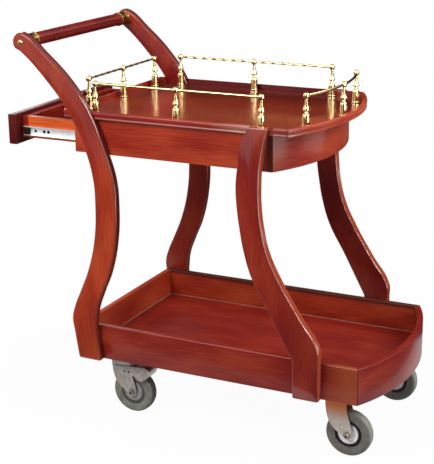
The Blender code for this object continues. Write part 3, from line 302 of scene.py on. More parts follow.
def add(tree, kind, settings=None, inputs=None, stops=()):
    """Add a node: its settings, links or values for its inputs, and a ramp's (place, hex)."""
    made = tree.nodes.new(kind)
    for name, value in (settings or {}).items():
        setattr(made, name, value)
    for key, value in (inputs or {}).items():
        if isinstance(value, bpy.types.NodeSocket):
            tree.links.new(value, made.inputs[key])
        else:
            made.inputs[key].default_value = value
    for index, (place, colour) in enumerate(stops):
        band = made.color_ramp.elements
        stop = band[index] if index < 2 else band.new(place)
        stop.position = place
        stop.color = linear(colour)
    return made


def new_material(name, **constants):
    """A material, its nodes and its shader, with what is the same all over it set there."""
    material = bpy.data.materials.new(name)
    material.use_nodes = True
    shader = material.node_tree.nodes["Principled BSDF"]
    for key, value in constants.items():
        shader.inputs[key.replace("_", " ")].default_value = value
    return material, material.node_tree, shader


def unevenness(tree, vector, size, detail=3.0):
    """A cloudy pattern whose features have a size in metres, one along each axis."""
    placed = add(tree, "ShaderNodeMapping",
                 inputs={"Vector": vector, "Scale": [1 / s for s in size]})
    return add(tree, "ShaderNodeTexNoise", inputs={
        "Vector": placed.outputs["Vector"], "Scale": 1.0, "Detail": detail,
        "Roughness": 0.55}).outputs["Fac"]


def stained(tree, colour, other, value, start, full, share):
    """Let another colour come in, up to a share of it, as a value goes from start to full: for
    stains and wear, and for painted light and painted shade.
    """
    depth = add(tree, "ShaderNodeMapRange", inputs={
        "Value": value, "From Min": start, "From Max": full, "To Min": 0.0, "To Max": share})
    return add(tree, "ShaderNodeMix", {"data_type": "RGBA"}, {
        0: depth.outputs["Result"], 6: colour, 7: linear(other)}).outputs[2]


def surfaced(tree, shader, colour, uneven, roughness, relief, strength, distance):
    """Give a shader its colour, a roughness between two values, and its fine relief."""
    rough = add(tree, "ShaderNodeMapRange", inputs={
        "Value": uneven, "From Min": PATTERN_LOW, "From Max": PATTERN_HIGH,
        "To Min": roughness[0], "To Max": roughness[1]})
    bump = add(tree, "ShaderNodeBump", inputs={
        "Strength": strength, "Distance": distance, "Height": relief})
    for socket, source in (("Base Color", colour), ("Roughness", rough.outputs["Result"]),
                           ("Normal", bump.outputs["Normal"])):
        tree.links.new(source, shader.inputs[socket])


def round_the_bow(tree, vector, centre_x, radius):
    """Coordinates that run along a bow: length of arc, distance from its centre, height."""
    apart = add(tree, "ShaderNodeSeparateXYZ", inputs={"Vector": vector}).outputs
    x = add(tree, "ShaderNodeMath", {"operation": "SUBTRACT"},
            {0: apart["X"], 1: centre_x}).outputs[0]
    turn = add(tree, "ShaderNodeMath", {"operation": "ARCTAN2"}, {0: apart["Y"], 1: x})
    along = add(tree, "ShaderNodeMath", {"operation": "MULTIPLY"},
                {0: turn.outputs[0], 1: radius}).outputs[0]
    flat = add(tree, "ShaderNodeCombineXYZ", inputs={"X": x, "Y": apart["Y"]}).outputs[0]
    reach = add(tree, "ShaderNodeVectorMath", {"operation": "LENGTH"},
                {0: flat}).outputs["Value"]
    return add(tree, "ShaderNodeCombineXYZ",
               inputs={"X": along, "Y": reach, "Z": apart["Z"]}).outputs[0]


def sideways(tree, side=0):
    """How far a face looks along Y, towards one side of the trolley or either."""
    normal = add(tree, "ShaderNodeNewGeometry").outputs["Normal"]
    y = add(tree, "ShaderNodeSeparateXYZ", inputs={"Vector": normal}).outputs["Y"]
    return add(tree, "ShaderNodeMath", {"operation": "MULTIPLY" if side else "ABSOLUTE"},
               {0: y, 1: side}).outputs[0]


# Stains of the boards, from where the cherry takes them least to where it takes them most
CHERRY = ("#741112", "#8A2315", "#A03A1D")
ORANGE_CHERRY = ("#861E14", "#A33820", "#BA502E")
CRIMSON_LEG_CHERRY = ("#6E0F12", "#832015", "#9A361D")
ORANGE_LEG_CHERRY = ("#7E180F", "#9E341A", "#B44A25")
LOWER_CHERRY = ("#691011", "#7E1E15", "#94331D")
FLOOR_CHERRY = ("#701210", "#8C2816", "#A4441F")
# the far rim's colours: the rim's own, darkened by painted shade
FAR_RIM_PAINTED_SHADE = ("#4A0A0C", "#5C1011", "#701C14")
# also the colour of most of the painted shade on the boards
DARK_CHERRY = ("#3E0807", "#500E0B", "#64180F")
BAR_CHERRY = ("#5A0B0B", "#761511", "#8C2418")
DRAWER_CHERRY = ("#A03A14", "#C4521E", "#DC6C2C")
FIBRE_LENGTH = 0.050
FIBRE_WIDTH = 0.0018            # real fibres are finer: this is as coarse as shows
FIGURE_LENGTH = 0.150
FIGURE_WIDTH = 0.060
# the fibres carry changes of painted shade as well as changes of stain
CHANGE_WANDER = 0.6              # how far fibres carry a change of stain, as a share of it


def lacquered_cherry(name, along, colours=CHERRY, roughness=0.44, coat=0.30,
                     coat_roughness=0.16, bow=None, painted_edge_shade=0.0, painted_edge_light=0.0, painted_shade_except_side=0,
                     figure_share=0.55, changes=()):
    """Cherry stained red-brown under a clear gloss lacquer.

    The stain takes unevenly, crimson here and orange-brown there, over fine straight fibres.
    The lacquer over it is smooth, so the grain shows in colour and hardly in relief. Painted
    shade darkens a leg's sawn edges and rounded corners, the faces that don't look along Y,
    and painted light brings the sawn edges back to orange inside the darkened corners, each
    by its share. Painted shade darkens a drawer side but for its outer face, which side the
    argument names. Each of changes is (axis, start, full, share, hex colour): the colour goes
    over to another along an axis. Most of these are painted shade, one on the bow also a grey
    painted reflection; one is wear where a rim is rubbed pale, and one a paler orange at a
    corner.
    """
    material, tree, shader = new_material(
        name, Coat_Weight=coat, Coat_Roughness=coat_roughness, Specular_IOR_Level=0.10)
    vector = add(tree, "ShaderNodeTexCoord").outputs["Object"]
    if bow:
        vector = round_the_bow(tree, vector, *bow)
    order = {"X": (0, 1, 1), "Y": (1, 0, 1), "Z": (1, 1, 0)}[along]
    fibre = unevenness(tree, vector, [(FIBRE_LENGTH, FIBRE_WIDTH)[i] for i in order])
    figure = unevenness(tree, vector, [(FIGURE_LENGTH, FIGURE_WIDTH)[i] for i in order], 1.0)
    both = add(tree, "ShaderNodeMix", {"data_type": "FLOAT"},
               {"Factor": figure_share, "A": fibre, "B": figure}).outputs["Result"]
    colour = add(tree, "ShaderNodeValToRGB", inputs={"Fac": both}, stops=(
        (0.33, colours[0]), (0.50, colours[1]), (0.67, colours[2]))).outputs["Color"]
    for axis, start, full, share, other in changes:
        place = add(tree, "ShaderNodeSeparateXYZ", inputs={"Vector": vector}).outputs[axis]
        wander = add(tree, "ShaderNodeMath", {"operation": "MULTIPLY_ADD"},
                     {0: fibre, 1: abs(full - start) * CHANGE_WANDER, 2: place}).outputs[0]
        colour = stained(tree, colour, other, wander, start, full, share)
    # painted shade on the faces that don't look along Y: a leg's sawn edges and rounded corners
    if painted_edge_shade:
        colour = stained(tree, colour, DARK_CHERRY[1], sideways(tree), 0.98, 0.5, painted_edge_shade)
    # painted light on the faces that look least along Y: a leg's sawn edges, orange again
    if painted_edge_light:
        colour = stained(tree, colour, ORANGE_LEG_CHERRY[2], sideways(tree), 0.6, 0.2,
                         painted_edge_light)
    # painted shade on every face of a drawer side but its outer one
    if painted_shade_except_side:
        colour = stained(tree, colour, CHERRY[0], sideways(tree, painted_shade_except_side), 0.8, 0.4, 1.0)
    surfaced(tree, shader, colour, fibre, (roughness - 0.04, roughness + 0.06), fibre, 0.2,
             0.0001)
    return material


def polished_brass(name, colours, roughness):
    """Turned brass, polished and lacquered: a pale yellow mirror, faintly uneven."""
    material, tree, shader = new_material(name, Metallic=1.0)
    vector = add(tree, "ShaderNodeTexCoord").outputs["Object"]
    cloud = unevenness(tree, vector, (0.012, 0.012, 0.012))
    colour = add(tree, "ShaderNodeValToRGB", inputs={"Fac": cloud}, stops=(
        (0.3, colours[0]), (0.7, colours[1]))).outputs["Color"]
    rings = unevenness(tree, vector, (0.02, 0.02, 0.0006), 2.0)
    surfaced(tree, shader, colour, cloud, (roughness - 0.03, roughness + 0.04), rings, 0.12,
             0.00003)
    return material


def plated_steel(name, colours, roughness, scratch, crown_painted_reflection=None):
    """Zinc-plated steel: a soft cloudy spangle with fine rolling lines along one axis.

    Near its top the plating of a front fork has a coppery brown painted into it, a painted
    reflection of the red-brown wood above.
    """
    material, tree, shader = new_material(name, Metallic=1.0)
    vector = add(tree, "ShaderNodeTexCoord").outputs["Object"]
    cloud = unevenness(tree, vector, (0.007, 0.007, 0.007))
    line = unevenness(tree, vector, scratch, 2.0)
    both = add(tree, "ShaderNodeMix", {"data_type": "FLOAT"},
               {"Factor": 0.4, "A": cloud, "B": line}).outputs["Result"]
    colour = add(tree, "ShaderNodeValToRGB", inputs={"Fac": both}, stops=(
        (0.3, colours[0]), (0.7, colours[1]))).outputs["Color"]
    # painted reflection of the red-brown wood, coppery towards the top
    if crown_painted_reflection:
        height = add(tree, "ShaderNodeSeparateXYZ", inputs={"Vector": vector}).outputs["Z"]
        colour = stained(tree, colour, crown_painted_reflection, height, CROWN_TOP - 0.048,
                         CROWN_TOP - 0.014, 0.9)
    surfaced(tree, shader, colour, both, (roughness - 0.07, roughness + 0.09), line, 0.2,
             0.00005)
    return material


def moulded(name, colours, roughness, gloss=0.5, tread_painted_lighting=None):
    """Moulded rubber or plastic: nearly even colour over a fine matt tooth.

    A tyre's tread takes another grey than its sides: painted light on the front tyres and
    painted shade on the back ones.
    """
    material, tree, shader = new_material(name, Specular_IOR_Level=gloss)
    vector = add(tree, "ShaderNodeTexCoord").outputs["Object"]
    broad = unevenness(tree, vector, (0.014, 0.014, 0.014))
    fine = unevenness(tree, vector, (0.0016, 0.0016, 0.0016), 2.0)
    colour = add(tree, "ShaderNodeValToRGB", inputs={"Fac": broad}, stops=(
        (0.3, colours[0]), (0.7, colours[1]))).outputs["Color"]
    # the tread's painted light on the front tyres and painted shade on the back ones
    if tread_painted_lighting:
        colour = stained(tree, colour, tread_painted_lighting, sideways(tree), 0.8, 0.25, 1.0)
    surfaced(tree, shader, colour, fine, (roughness - 0.06, roughness + 0.06), fine, 0.4,
             0.00006)
    return material


# Plain red-brown boards: the rim's end, and what the drawer shows inside
cherry_x = lacquered_cherry("lacquered_cherry_lengthwise", "X")
cherry_y = lacquered_cherry("lacquered_cherry_crosswise", "Y")

# Legs: crimson under thick gloss on the front ones, orange all over on the near back one, and
# # calmer on the far back one. Painted shade darkens them towards the foot, the near back one
# # also near its top, and darkens their sawn edges; on the front legs painted light brings
# # those edges back to orange inside the darkened rounded corners
cherry_front_leg = lacquered_cherry(
    "lacquered_cherry_leg", "Z", CRIMSON_LEG_CHERRY, coat=1.0, coat_roughness=0.08,
    painted_edge_shade=0.9, painted_edge_light=0.8, changes=[("Z", 0.64, LOWER_BOTTOM, 0.44, DARK_CHERRY[1])])
cherry_near_back_leg = lacquered_cherry(
    "orange_stained_cherry_leg", "Z", ORANGE_LEG_CHERRY, coat=0.5, coat_roughness=0.10,
    painted_edge_shade=0.65, changes=[("Z", 0.42, LOWER_BOTTOM, 0.36, DARK_CHERRY[1]),
                             ("Z", 0.62, 0.80, 0.36, DARK_CHERRY[2])])
cherry_far_back_leg = lacquered_cherry(
    "lacquered_cherry_far_leg", "Z", coat=0.4, coat_roughness=0.12, painted_edge_shade=0.6,
    changes=[("Z", 0.66, LOWER_BOTTOM, 0.50, DARK_CHERRY[1])])

# Aprons: orange-brown, with a painted shadow beside the near front leg; on the bow, painted
# # shade with a grey painted reflection at its near end and painted shade at its far end
cherry_far_apron = lacquered_cherry("orange_stained_cherry_apron", "X", ORANGE_CHERRY)
cherry_near_apron = lacquered_cherry(
    "orange_stained_cherry_near_apron", "X", ORANGE_CHERRY,
    changes=[("X", 0.176, 0.190, 0.92, DARK_CHERRY[0])])
cherry_upper_bow = lacquered_cherry(
    "lacquered_cherry_upper_bow", "X", ORANGE_CHERRY, bow=(BOW_CENTRE_X, APRON_BOW_RADIUS),
    changes=[("X", -0.11, -0.20, 0.55, "#5E3230"), ("X", 0.10, 0.20, 0.35, DARK_CHERRY[1])])

# Rim: rubbed pale towards the near front leg, and nearly black-red on the far side, which is
# # painted shade
cherry_near_rim = lacquered_cherry(
    "rubbed_cherry_near_rim", "X", changes=[("X", 0.09, 0.19, 0.62, "#A88A7C")])
cherry_far_rim = lacquered_cherry("cherry_far_rim_painted_shade", "X", FAR_RIM_PAINTED_SHADE)

# Lower tray: near wall and bow dark red, but orange at their corner. The far and end walls are
# # a lighter orange, which is painted light on their inner faces, the far one nearly matt with
# # painted shade along its upper edge, and the floor has a satin coat
cherry_lower_near = lacquered_cherry(
    "dark_stained_cherry_lower_side", "X", LOWER_CHERRY,
    changes=[("X", 0.325, 0.375, 0.60, "#A04E26")])
cherry_lower_far = lacquered_cherry(
    "cherry_lower_far_painted_light_and_shade", "X", ORANGE_CHERRY, coat=0.05,
    changes=[("Z", 0.208, 0.215, 0.85, "#2E1A14")])
cherry_lower_end = lacquered_cherry("cherry_lower_end_painted_light", "Y", ORANGE_CHERRY)
cherry_lower_bow = lacquered_cherry("dark_stained_cherry_lower_bow", "X", LOWER_CHERRY,
                                    bow=(LOWER_BOW_CENTRE_X, LOWER_BOW_RADIUS))
cherry_lower_floor = lacquered_cherry("satin_cherry_lower_floor", "X", LOWER_CHERRY, coat=0.25,
                                      coat_roughness=0.22, figure_share=0.35)

# Upper floor: a thick polished coat that mirrors the posts, darkened towards its far side by
# # painted shade
cherry_floor = lacquered_cherry(
    "polished_cherry_tray_floor", "X", FLOOR_CHERRY, 0.34, 1.0, 0.17, figure_share=0.35,
    changes=[("Y", 0.04, 0.21, 0.92, DARK_CHERRY[1])])

# Drawer: sides pale orange, with painted shade on all but their outer faces; front stained
# # dark under little gloss
cherry_drawer_near = lacquered_cherry("pale_cherry_drawer_side_near", "X", DRAWER_CHERRY,
                                      painted_shade_except_side=-1)
cherry_drawer_far = lacquered_cherry("pale_cherry_drawer_side_far", "X", DRAWER_CHERRY,
                                     painted_shade_except_side=1)
cherry_dark = lacquered_cherry("dark_stained_cherry_front", "Y", DARK_CHERRY, coat=0.10)

# Handlebar: crimson, and glossy from many hands
cherry_bar = lacquered_cherry("crimson_stained_cherry_bar", "Y", BAR_CHERRY, coat=0.5)

# Brass: bright on the posts and rails, brown with age on the ferrules and the end rail
brass = polished_brass("polished_brass", ("#C2A468", "#DAC28C"), 0.16)
aged_brass = polished_brass("toned_down_brass", ("#665024", "#937A44"), 0.30)

# Steel: dull grey plate drawn up and down, bright strip drawn lengthwise, black screws
zinc = plated_steel("zinc_plated_pressed_steel", ("#7C7570", "#B6AEA7"), 0.42,
                    (0.0008, 0.0008, 0.020))
# front forks: their plating with a painted reflection of the wood near their top
zinc_with_painted_reflection = plated_steel("zinc_plated_steel_painted_reflection", ("#978F88", "#BEB4AA"), 0.42,
                          (0.0008, 0.0008, 0.020), crown_painted_reflection="#B05C26")
axle_steel = plated_steel("dull_axle_steel", ("#7A746D", "#989188"), 0.45,
                          (0.001, 0.001, 0.001))
slide_zinc = plated_steel("bright_zinc_slide_strip", ("#E4ECEE", "#F8FAFA"), 0.50,
                          (0.060, 0.001, 0.001))
# blackened steel of the screws and rivets, and painted shade on the axles' ends
black_steel_and_painted_shade = plated_steel("blackened_steel_and_painted_shade", ("#14110F", "#241F1B"), 0.45,
                          (0.001, 0.001, 0.001))

# Glue and filler: a pale skin along the floor, a dark one in the mitres
glue = moulded("dried_wood_glue", ("#6A4030", "#9C7C64"), 0.6)
dark_filler = moulded("dark_stained_wood_filler", ("#1E0605", "#2E0B08"), 0.8, gloss=0.1)

# Wheels: matt grey rubber on nylon, grimy on the back ones, with painted light on the front
# # tyres' treads, painted shade on the back ones', and black rings of painted shade in the
# # front hubs' grooves
tyre_rubber = moulded("grey_tyre_rubber", ("#53514B", "#6C6A62"), 0.72, gloss=0.3,
                      tread_painted_lighting="#87877D")
worn_rubber = moulded("worn_grey_tyre_rubber", ("#5A5A54", "#83847B"), 0.74, gloss=0.3,
                      tread_painted_lighting="#5E5D57")
hub_nylon = moulded("light_grey_hub_nylon", ("#CFCACC", "#E4E0E1"), 0.42)
grimy_nylon = moulded("grimy_hub_nylon", ("#7C7876", "#9B9793"), 0.5)
# black rubber of the slides' bumpers, and painted shade as the black ring in a front hub's
# groove
black_rubber_and_painted_shade = moulded("black_rubber_and_painted_shade_ring", ("#0A0909", "#141111"), 0.6, gloss=0.15)
grimy_seal = moulded("grimy_rubber_seal", ("#45433F", "#56534E"), 0.7, gloss=0.2)


# Making pieces

def welded(bm):
    """Merge the doubled points of a mesh and turn its faces outwards."""
    bmesh.ops.remove_doubles(bm, verts=bm.verts, dist=WELD)
    bmesh.ops.recalc_face_normals(bm, faces=bm.faces)
    return bm


def piece(bm, name, material, replaces=(), body="frame"):
    """Close a mesh, shade it, and set it among the model's pieces."""
    mesh = bpy.data.meshes.new(name)
    welded(bm).to_mesh(mesh)
    bm.free()
    mesh.shade_smooth()
    mesh.set_sharp_from_angle(angle=math.radians(SHARP_ANGLE))
    mesh.materials.append(material)
    obj = bpy.data.objects.new(name, mesh)
    bpy.context.scene.collection.objects.link(obj)
    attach(obj, body)
    if replaces:
        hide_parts(*replaces)


def loose(bm):
    """A mesh as a short-lived object, for a modifier to work on."""
    mesh = bpy.data.meshes.new("shape")
    bm.to_mesh(mesh)
    bm.free()
    obj = bpy.data.objects.new("shape", mesh)
    bpy.context.scene.collection.objects.link(obj)
    return obj


def taken(obj):
    """The mesh of a short-lived object with its modifiers, as a bmesh."""
    bpy.context.view_layer.update()
    graph = bpy.context.evaluated_depsgraph_get()
    mesh = bpy.data.meshes.new_from_object(obj.evaluated_get(graph))
    bpy.data.objects.remove(obj, do_unlink=True)
    bm = bmesh.new()
    bm.from_mesh(mesh)
    bpy.data.meshes.remove(mesh)
    return bm


def combined(bm, tools, operation):
    """A mesh cut by, joined to or kept inside others."""
    target = loose(bm)
    others = [loose(tool) for tool in tools]
    for other in others:
        modifier = target.modifiers.new("combine", "BOOLEAN")
        modifier.operation = operation
        modifier.solver = "EXACT"
        modifier.object = other
    result = taken(target)
    for other in others:
        bpy.data.objects.remove(other, do_unlink=True)
    return result


def add_to(whole, part):
    """Put one mesh's faces into another mesh, beside those that it has."""
    mesh = bpy.data.meshes.new("part")
    part.to_mesh(mesh)
    part.free()
    whole.from_mesh(mesh)
    bpy.data.meshes.remove(mesh)


def moved(bm, offset=(0, 0, 0), turn=None):
    """Turn a mesh about an axis through the origin, then shift it."""
    if turn:
        angle, axis = turn
        bmesh.ops.rotate(bm, verts=bm.verts, matrix=Matrix.Rotation(angle, 3, axis))
    bmesh.ops.translate(bm, verts=bm.verts, vec=offset)
    return bm


def laid_along_y(bm):
    """Lay a shape turned about Z along Y, its top towards -Y."""
    return moved(bm, turn=(math.pi / 2, "X"))


def upright(bm, middle_y=0):
    """Stand a flat XY shape up in the XZ plane, with its middle at a given y."""
    return moved(bm, (0, middle_y, 0), (math.pi / 2, "X"))


def facing(bm, side):
    """Turn a part made for the near side round, where it is for the far one."""
    return moved(bm, turn=(math.pi, "Z")) if side > 0 else bm


def upended(bm, side):
    """Turn a part made for an axle's upper end over, where it is for the lower one."""
    return moved(bm, turn=(math.pi, "X")) if side < 0 else bm


def aimed(bm, place, direction):
    """Lay a shape drawn along Z along a direction, from a place."""
    aim = direction.to_track_quat("Z", "Y").to_matrix().to_4x4()
    bmesh.ops.transform(bm, verts=bm.verts, matrix=Matrix.Translation(place) @ aim)
    return bm


def box(low, high):
    """A block between two corners."""
    bm = bmesh.new()
    size = [b - a for a, b in zip(low, high)]
    middle = [(a + b) / 2 for a, b in zip(low, high)]
    bmesh.ops.create_cube(bm, size=1,
                          matrix=Matrix.Translation(middle) @ Matrix.Diagonal((*size, 1)))
    return bm


def rod(radius, length, segments, top_radius=None):
    """A closed round or many-sided rod along Z, its middle at the origin."""
    bm = bmesh.new()
    bmesh.ops.create_cone(bm, cap_ends=True, segments=segments, radius1=radius,
                          radius2=top_radius or radius, depth=length)
    return bm


def eased(bm, radius, segments=3, where=None):
    """Round the edges between faces, all the sharp ones or those that a test picks."""
    bm.edges.ensure_lookup_table()
    edges = [e for e in bm.edges if len(e.link_faces) == 2
             and e.calc_face_angle() > math.radians(EASED_ANGLE)
             and (where is None or where(e))]
    if edges:
        bmesh.ops.bevel(bm, geom=edges, offset=radius, offset_type="OFFSET", segments=segments,
                        profile=0.5, affect="EDGES", material=-1, clamp_overlap=True)
    return bm


def level_edge(z, longer_than=0):
    """A test for edges that lie level at a height and run at least so far along X."""
    return lambda edge: (all(abs(v.co.z - z) < WELD * 5 for v in edge.verts)
                         and abs(edge.verts[0].co.x - edge.verts[1].co.x) >= longer_than)


def upright_edge(edge, longer_than=0):
    """Whether an edge goes up or down, by more than so much."""
    return abs(edge.verts[0].co.z - edge.verts[1].co.z) > longer_than


def fill_ends(bm):
    """Close what is open in a mesh with flat faces."""
    bmesh.ops.holes_fill(bm, edges=[e for e in bm.edges if e.is_boundary], sides=0)
    return bm


def turned(profile, steps=32, closed=False):
    """A profile of (radius, height), spun once round Z."""
    bm = bmesh.new()
    verts = [bm.verts.new((radius, 0, height)) for radius, height in profile]
    pairs = list(zip(verts, verts[1:]))
    if closed:
        pairs.append((verts[-1], verts[0]))
    edges = [bm.edges.new(pair) for pair in pairs]
    bmesh.ops.spin(bm, geom=verts + edges, cent=(0, 0, 0), axis=(0, 0, 1), angle=2 * math.pi,
                   steps=steps, use_merge=True, use_duplicate=False)
    return welded(bm)


def both_halves(upper):
    """A whole profile of (radius, height) from its upper half."""
    return upper + [(radius, -height) for radius, height in reversed(upper)]


def arc(centre, radius, angles, height=None):
    """Points round part of a circle, or of an oval of a height, at angles in degrees."""
    turns = [math.radians(a) for a in angles]
    return [(centre[0] + radius * math.cos(t), centre[1] + (height or radius) * math.sin(t))
            for t in turns]


def slab(points, thickness, corners, steps=8):
    """A flat outline, smooth between its corners, filled and given a thickness about z = 0."""
    curve = bpy.data.curves.new("outline", "CURVE")
    curve.dimensions = "2D"
    curve.fill_mode = "BOTH"
    curve.extrude = thickness / 2
    curve.resolution_u = steps
    spline = curve.splines.new("BEZIER")
    spline.bezier_points.add(len(points) - 1)
    for index, (knot, point) in enumerate(zip(spline.bezier_points, points)):
        knot.co = (*point, 0)
        kind = "VECTOR" if index in corners else "AUTO"
        knot.handle_left_type = kind
        knot.handle_right_type = kind
    spline.use_cyclic_u = True
    obj = bpy.data.objects.new("outline", curve)
    bpy.context.scene.collection.objects.link(obj)
    bm = taken(obj)
    bmesh.ops.remove_doubles(bm, verts=bm.verts, dist=WELD)
    bmesh.ops.dissolve_limit(bm, angle_limit=math.radians(FLAT_ANGLE), verts=bm.verts,
                             edges=bm.edges)
    bmesh.ops.recalc_face_normals(bm, faces=bm.faces)
    return bm


class Run:
    """A closed section that is carried along straights and bends, then capped."""

    def __init__(self, points):
        self.bm = bmesh.new()
        self.verts = [self.bm.verts.new(p) for p in points]
        self.edges = [self.bm.edges.new(pair)
                      for pair in zip(self.verts, self.verts[1:] + self.verts[:1])]

    def straight(self, vector):
        """Carry the section along a straight."""
        made = bmesh.ops.extrude_edge_only(self.bm, edges=self.edges)["geom"]
        self.verts = [g for g in made if isinstance(g, bmesh.types.BMVert)]
        fresh = set(self.verts)
        self.edges = [g for g in made if isinstance(g, bmesh.types.BMEdge)
                      and all(v in fresh for v in g.verts)]
        bmesh.ops.translate(self.bm, verts=self.verts, vec=vector)
        return self

    def bend(self, centre, degrees, steps):
        """Carry the section round an upright axis."""
        made = bmesh.ops.spin(self.bm, geom=self.verts + self.edges, cent=(*centre, 0),
                              axis=(0, 0, 1), angle=math.radians(degrees), steps=steps,
                              use_duplicate=False)["geom_last"]
        self.verts = [g for g in made if isinstance(g, bmesh.types.BMVert)]
        self.edges = [g for g in made if isinstance(g, bmesh.types.BMEdge)]
        return self

    def done(self):
        """The run as one closed mesh."""
        bmesh.ops.remove_doubles(self.bm, verts=self.bm.verts, dist=WELD)
        fill_ends(self.bm)
        bmesh.ops.recalc_face_normals(self.bm, faces=self.bm.faces)
        return self.bm


# Legs

def leg_edges(kind, grow=0):
    """Rear and front edge of a leg from the foot up, moved out by a margin."""
    shares, height, start_x, reach = LEGS[kind]
    rear = [(start_x + reach * along - grow, LOWER_BOTTOM + height * up)
            for up, along, width in shares]
    front = [(start_x + reach * along + LEG_WIDTH * width + grow, LOWER_BOTTOM + height * up)
             for up, along, width in shares]
    return rear, front


def leg_outline(kind, grow=0):
    """Outline of a leg, and which of its points are corners."""
    rear, front = leg_edges(kind, grow)
    if kind == "back":
        end = arc((BAR_X, BAR_Z), LEG_END_RADIUS, LEG_END_ANGLES)
        points = rear + end + front[::-1]
        return points, (0, len(points) - 1)
    points = rear + front[::-1]
    last = len(points) - 1
    return points, FRONT_LEG_REAR_CORNERS + tuple(last - i for i in FRONT_LEG_FRONT_CORNERS)


def leg_board(kind, side, thickness, middle_y, grow=0):
    """A leg sawn out of a board, standing on one side of the trolley."""
    points, corners = leg_outline(kind, grow)
    return upright(slab(points, thickness, corners), side * middle_y)


def leg_room(side):
    """Room for both legs of a side, where they pass through the rim."""
    outer = LEG_INNER + 2 * LEG_THICKNESS
    return [leg_board(kind, side, outer - BODY_HALF, (BODY_HALF + outer) / 2, 2 * FIT)
            for kind in LEGS]


LEG_FINISHES = {"back_near": cherry_near_back_leg, "back_far": cherry_far_back_leg,
                "front_near": cherry_front_leg, "front_far": cherry_front_leg}
for label, side in SIDES:
    for kind in LEGS:
        leg = leg_board(kind, side, LEG_THICKNESS, LEG_INNER + LEG_THICKNESS / 2)
        piece(eased(leg, LEG_ROUND, 5), f"shaped_leg_{kind}_{label}",
              LEG_FINISHES[f"{kind}_{label}"], [f"leg_{kind}_{label}"])


# Handlebar, with its ferrules and the cup-headed bolts in the legs

def ferrule_profile():
    """A brass sleeve with a rolled bead at each end of it, from the leg inwards."""
    inner = BAR_RADIUS + FIT
    outer = inner + FERRULE_WALL
    end = BAR_END - FERRULE_LENGTH
    bead = FERRULE_BEAD * 2
    first = arc((outer - FERRULE_BEAD, BAR_END - bead), bead, FERRULE_BEAD_ANGLES)
    last = arc((outer - FERRULE_BEAD, end + bead), bead, FERRULE_BEAD_ANGLES)
    middle = [(outer, BAR_END - 3 * bead), (outer - FERRULE_BEAD / 2, BAR_END - 4 * bead),
              (outer - FERRULE_BEAD / 2, end + 4 * bead), (outer, end + 3 * bead)]
    return [(inner, BAR_END)] + first + middle + last + [(inner, end)]


def cup_profile():
    """The bolt's domed head with the countersunk socket in its middle."""
    dome = arc((0, 0), CUP_RADIUS, CUP_ANGLES, CUP_HEIGHT)
    return [(0, CUP_HEIGHT * 0.25), (CUP_RADIUS * 0.22, CUP_HEIGHT * 0.3),
            (CUP_RADIUS * 0.30, CUP_HEIGHT * 0.93)] + dome[::-1] + [(0, 0)]


bar_place = (BAR_X, 0, BAR_Z)
bar = turned([(0, BAR_END), (BAR_RADIUS, BAR_END), (BAR_RADIUS, 0), (BAR_RADIUS, -BAR_END),
              (0, -BAR_END)], 48)
piece(moved(laid_along_y(bar), bar_place), "round_handlebar", cherry_bar, ["handlebar"])
for label, side in SIDES:
    ferrule = facing(laid_along_y(turned(ferrule_profile(), 48, closed=True)), side)
    piece(moved(ferrule, bar_place), f"beaded_ferrule_{label}", aged_brass,
          [f"handle_ferrule_{label}"])
    cup = moved(laid_along_y(turned(cup_profile(), 24)), (0, -(LEG_INNER + LEG_THICKNESS), 0))
    piece(moved(facing(cup, side), bar_place), f"cup_bolt_{label}", brass,
          [f"handle_bolt_{label}"])


# Bowed and straight boards

def mitre_edge(edge):
    """Whether an edge is an upright one at a mitre, on the outer face of a board."""
    outer = abs(abs(edge.verts[0].co.y) - BODY_HALF) < MITRE_EDGE_PLAY
    return outer and upright_edge(edge, MITRE_EDGE_LENGTH)


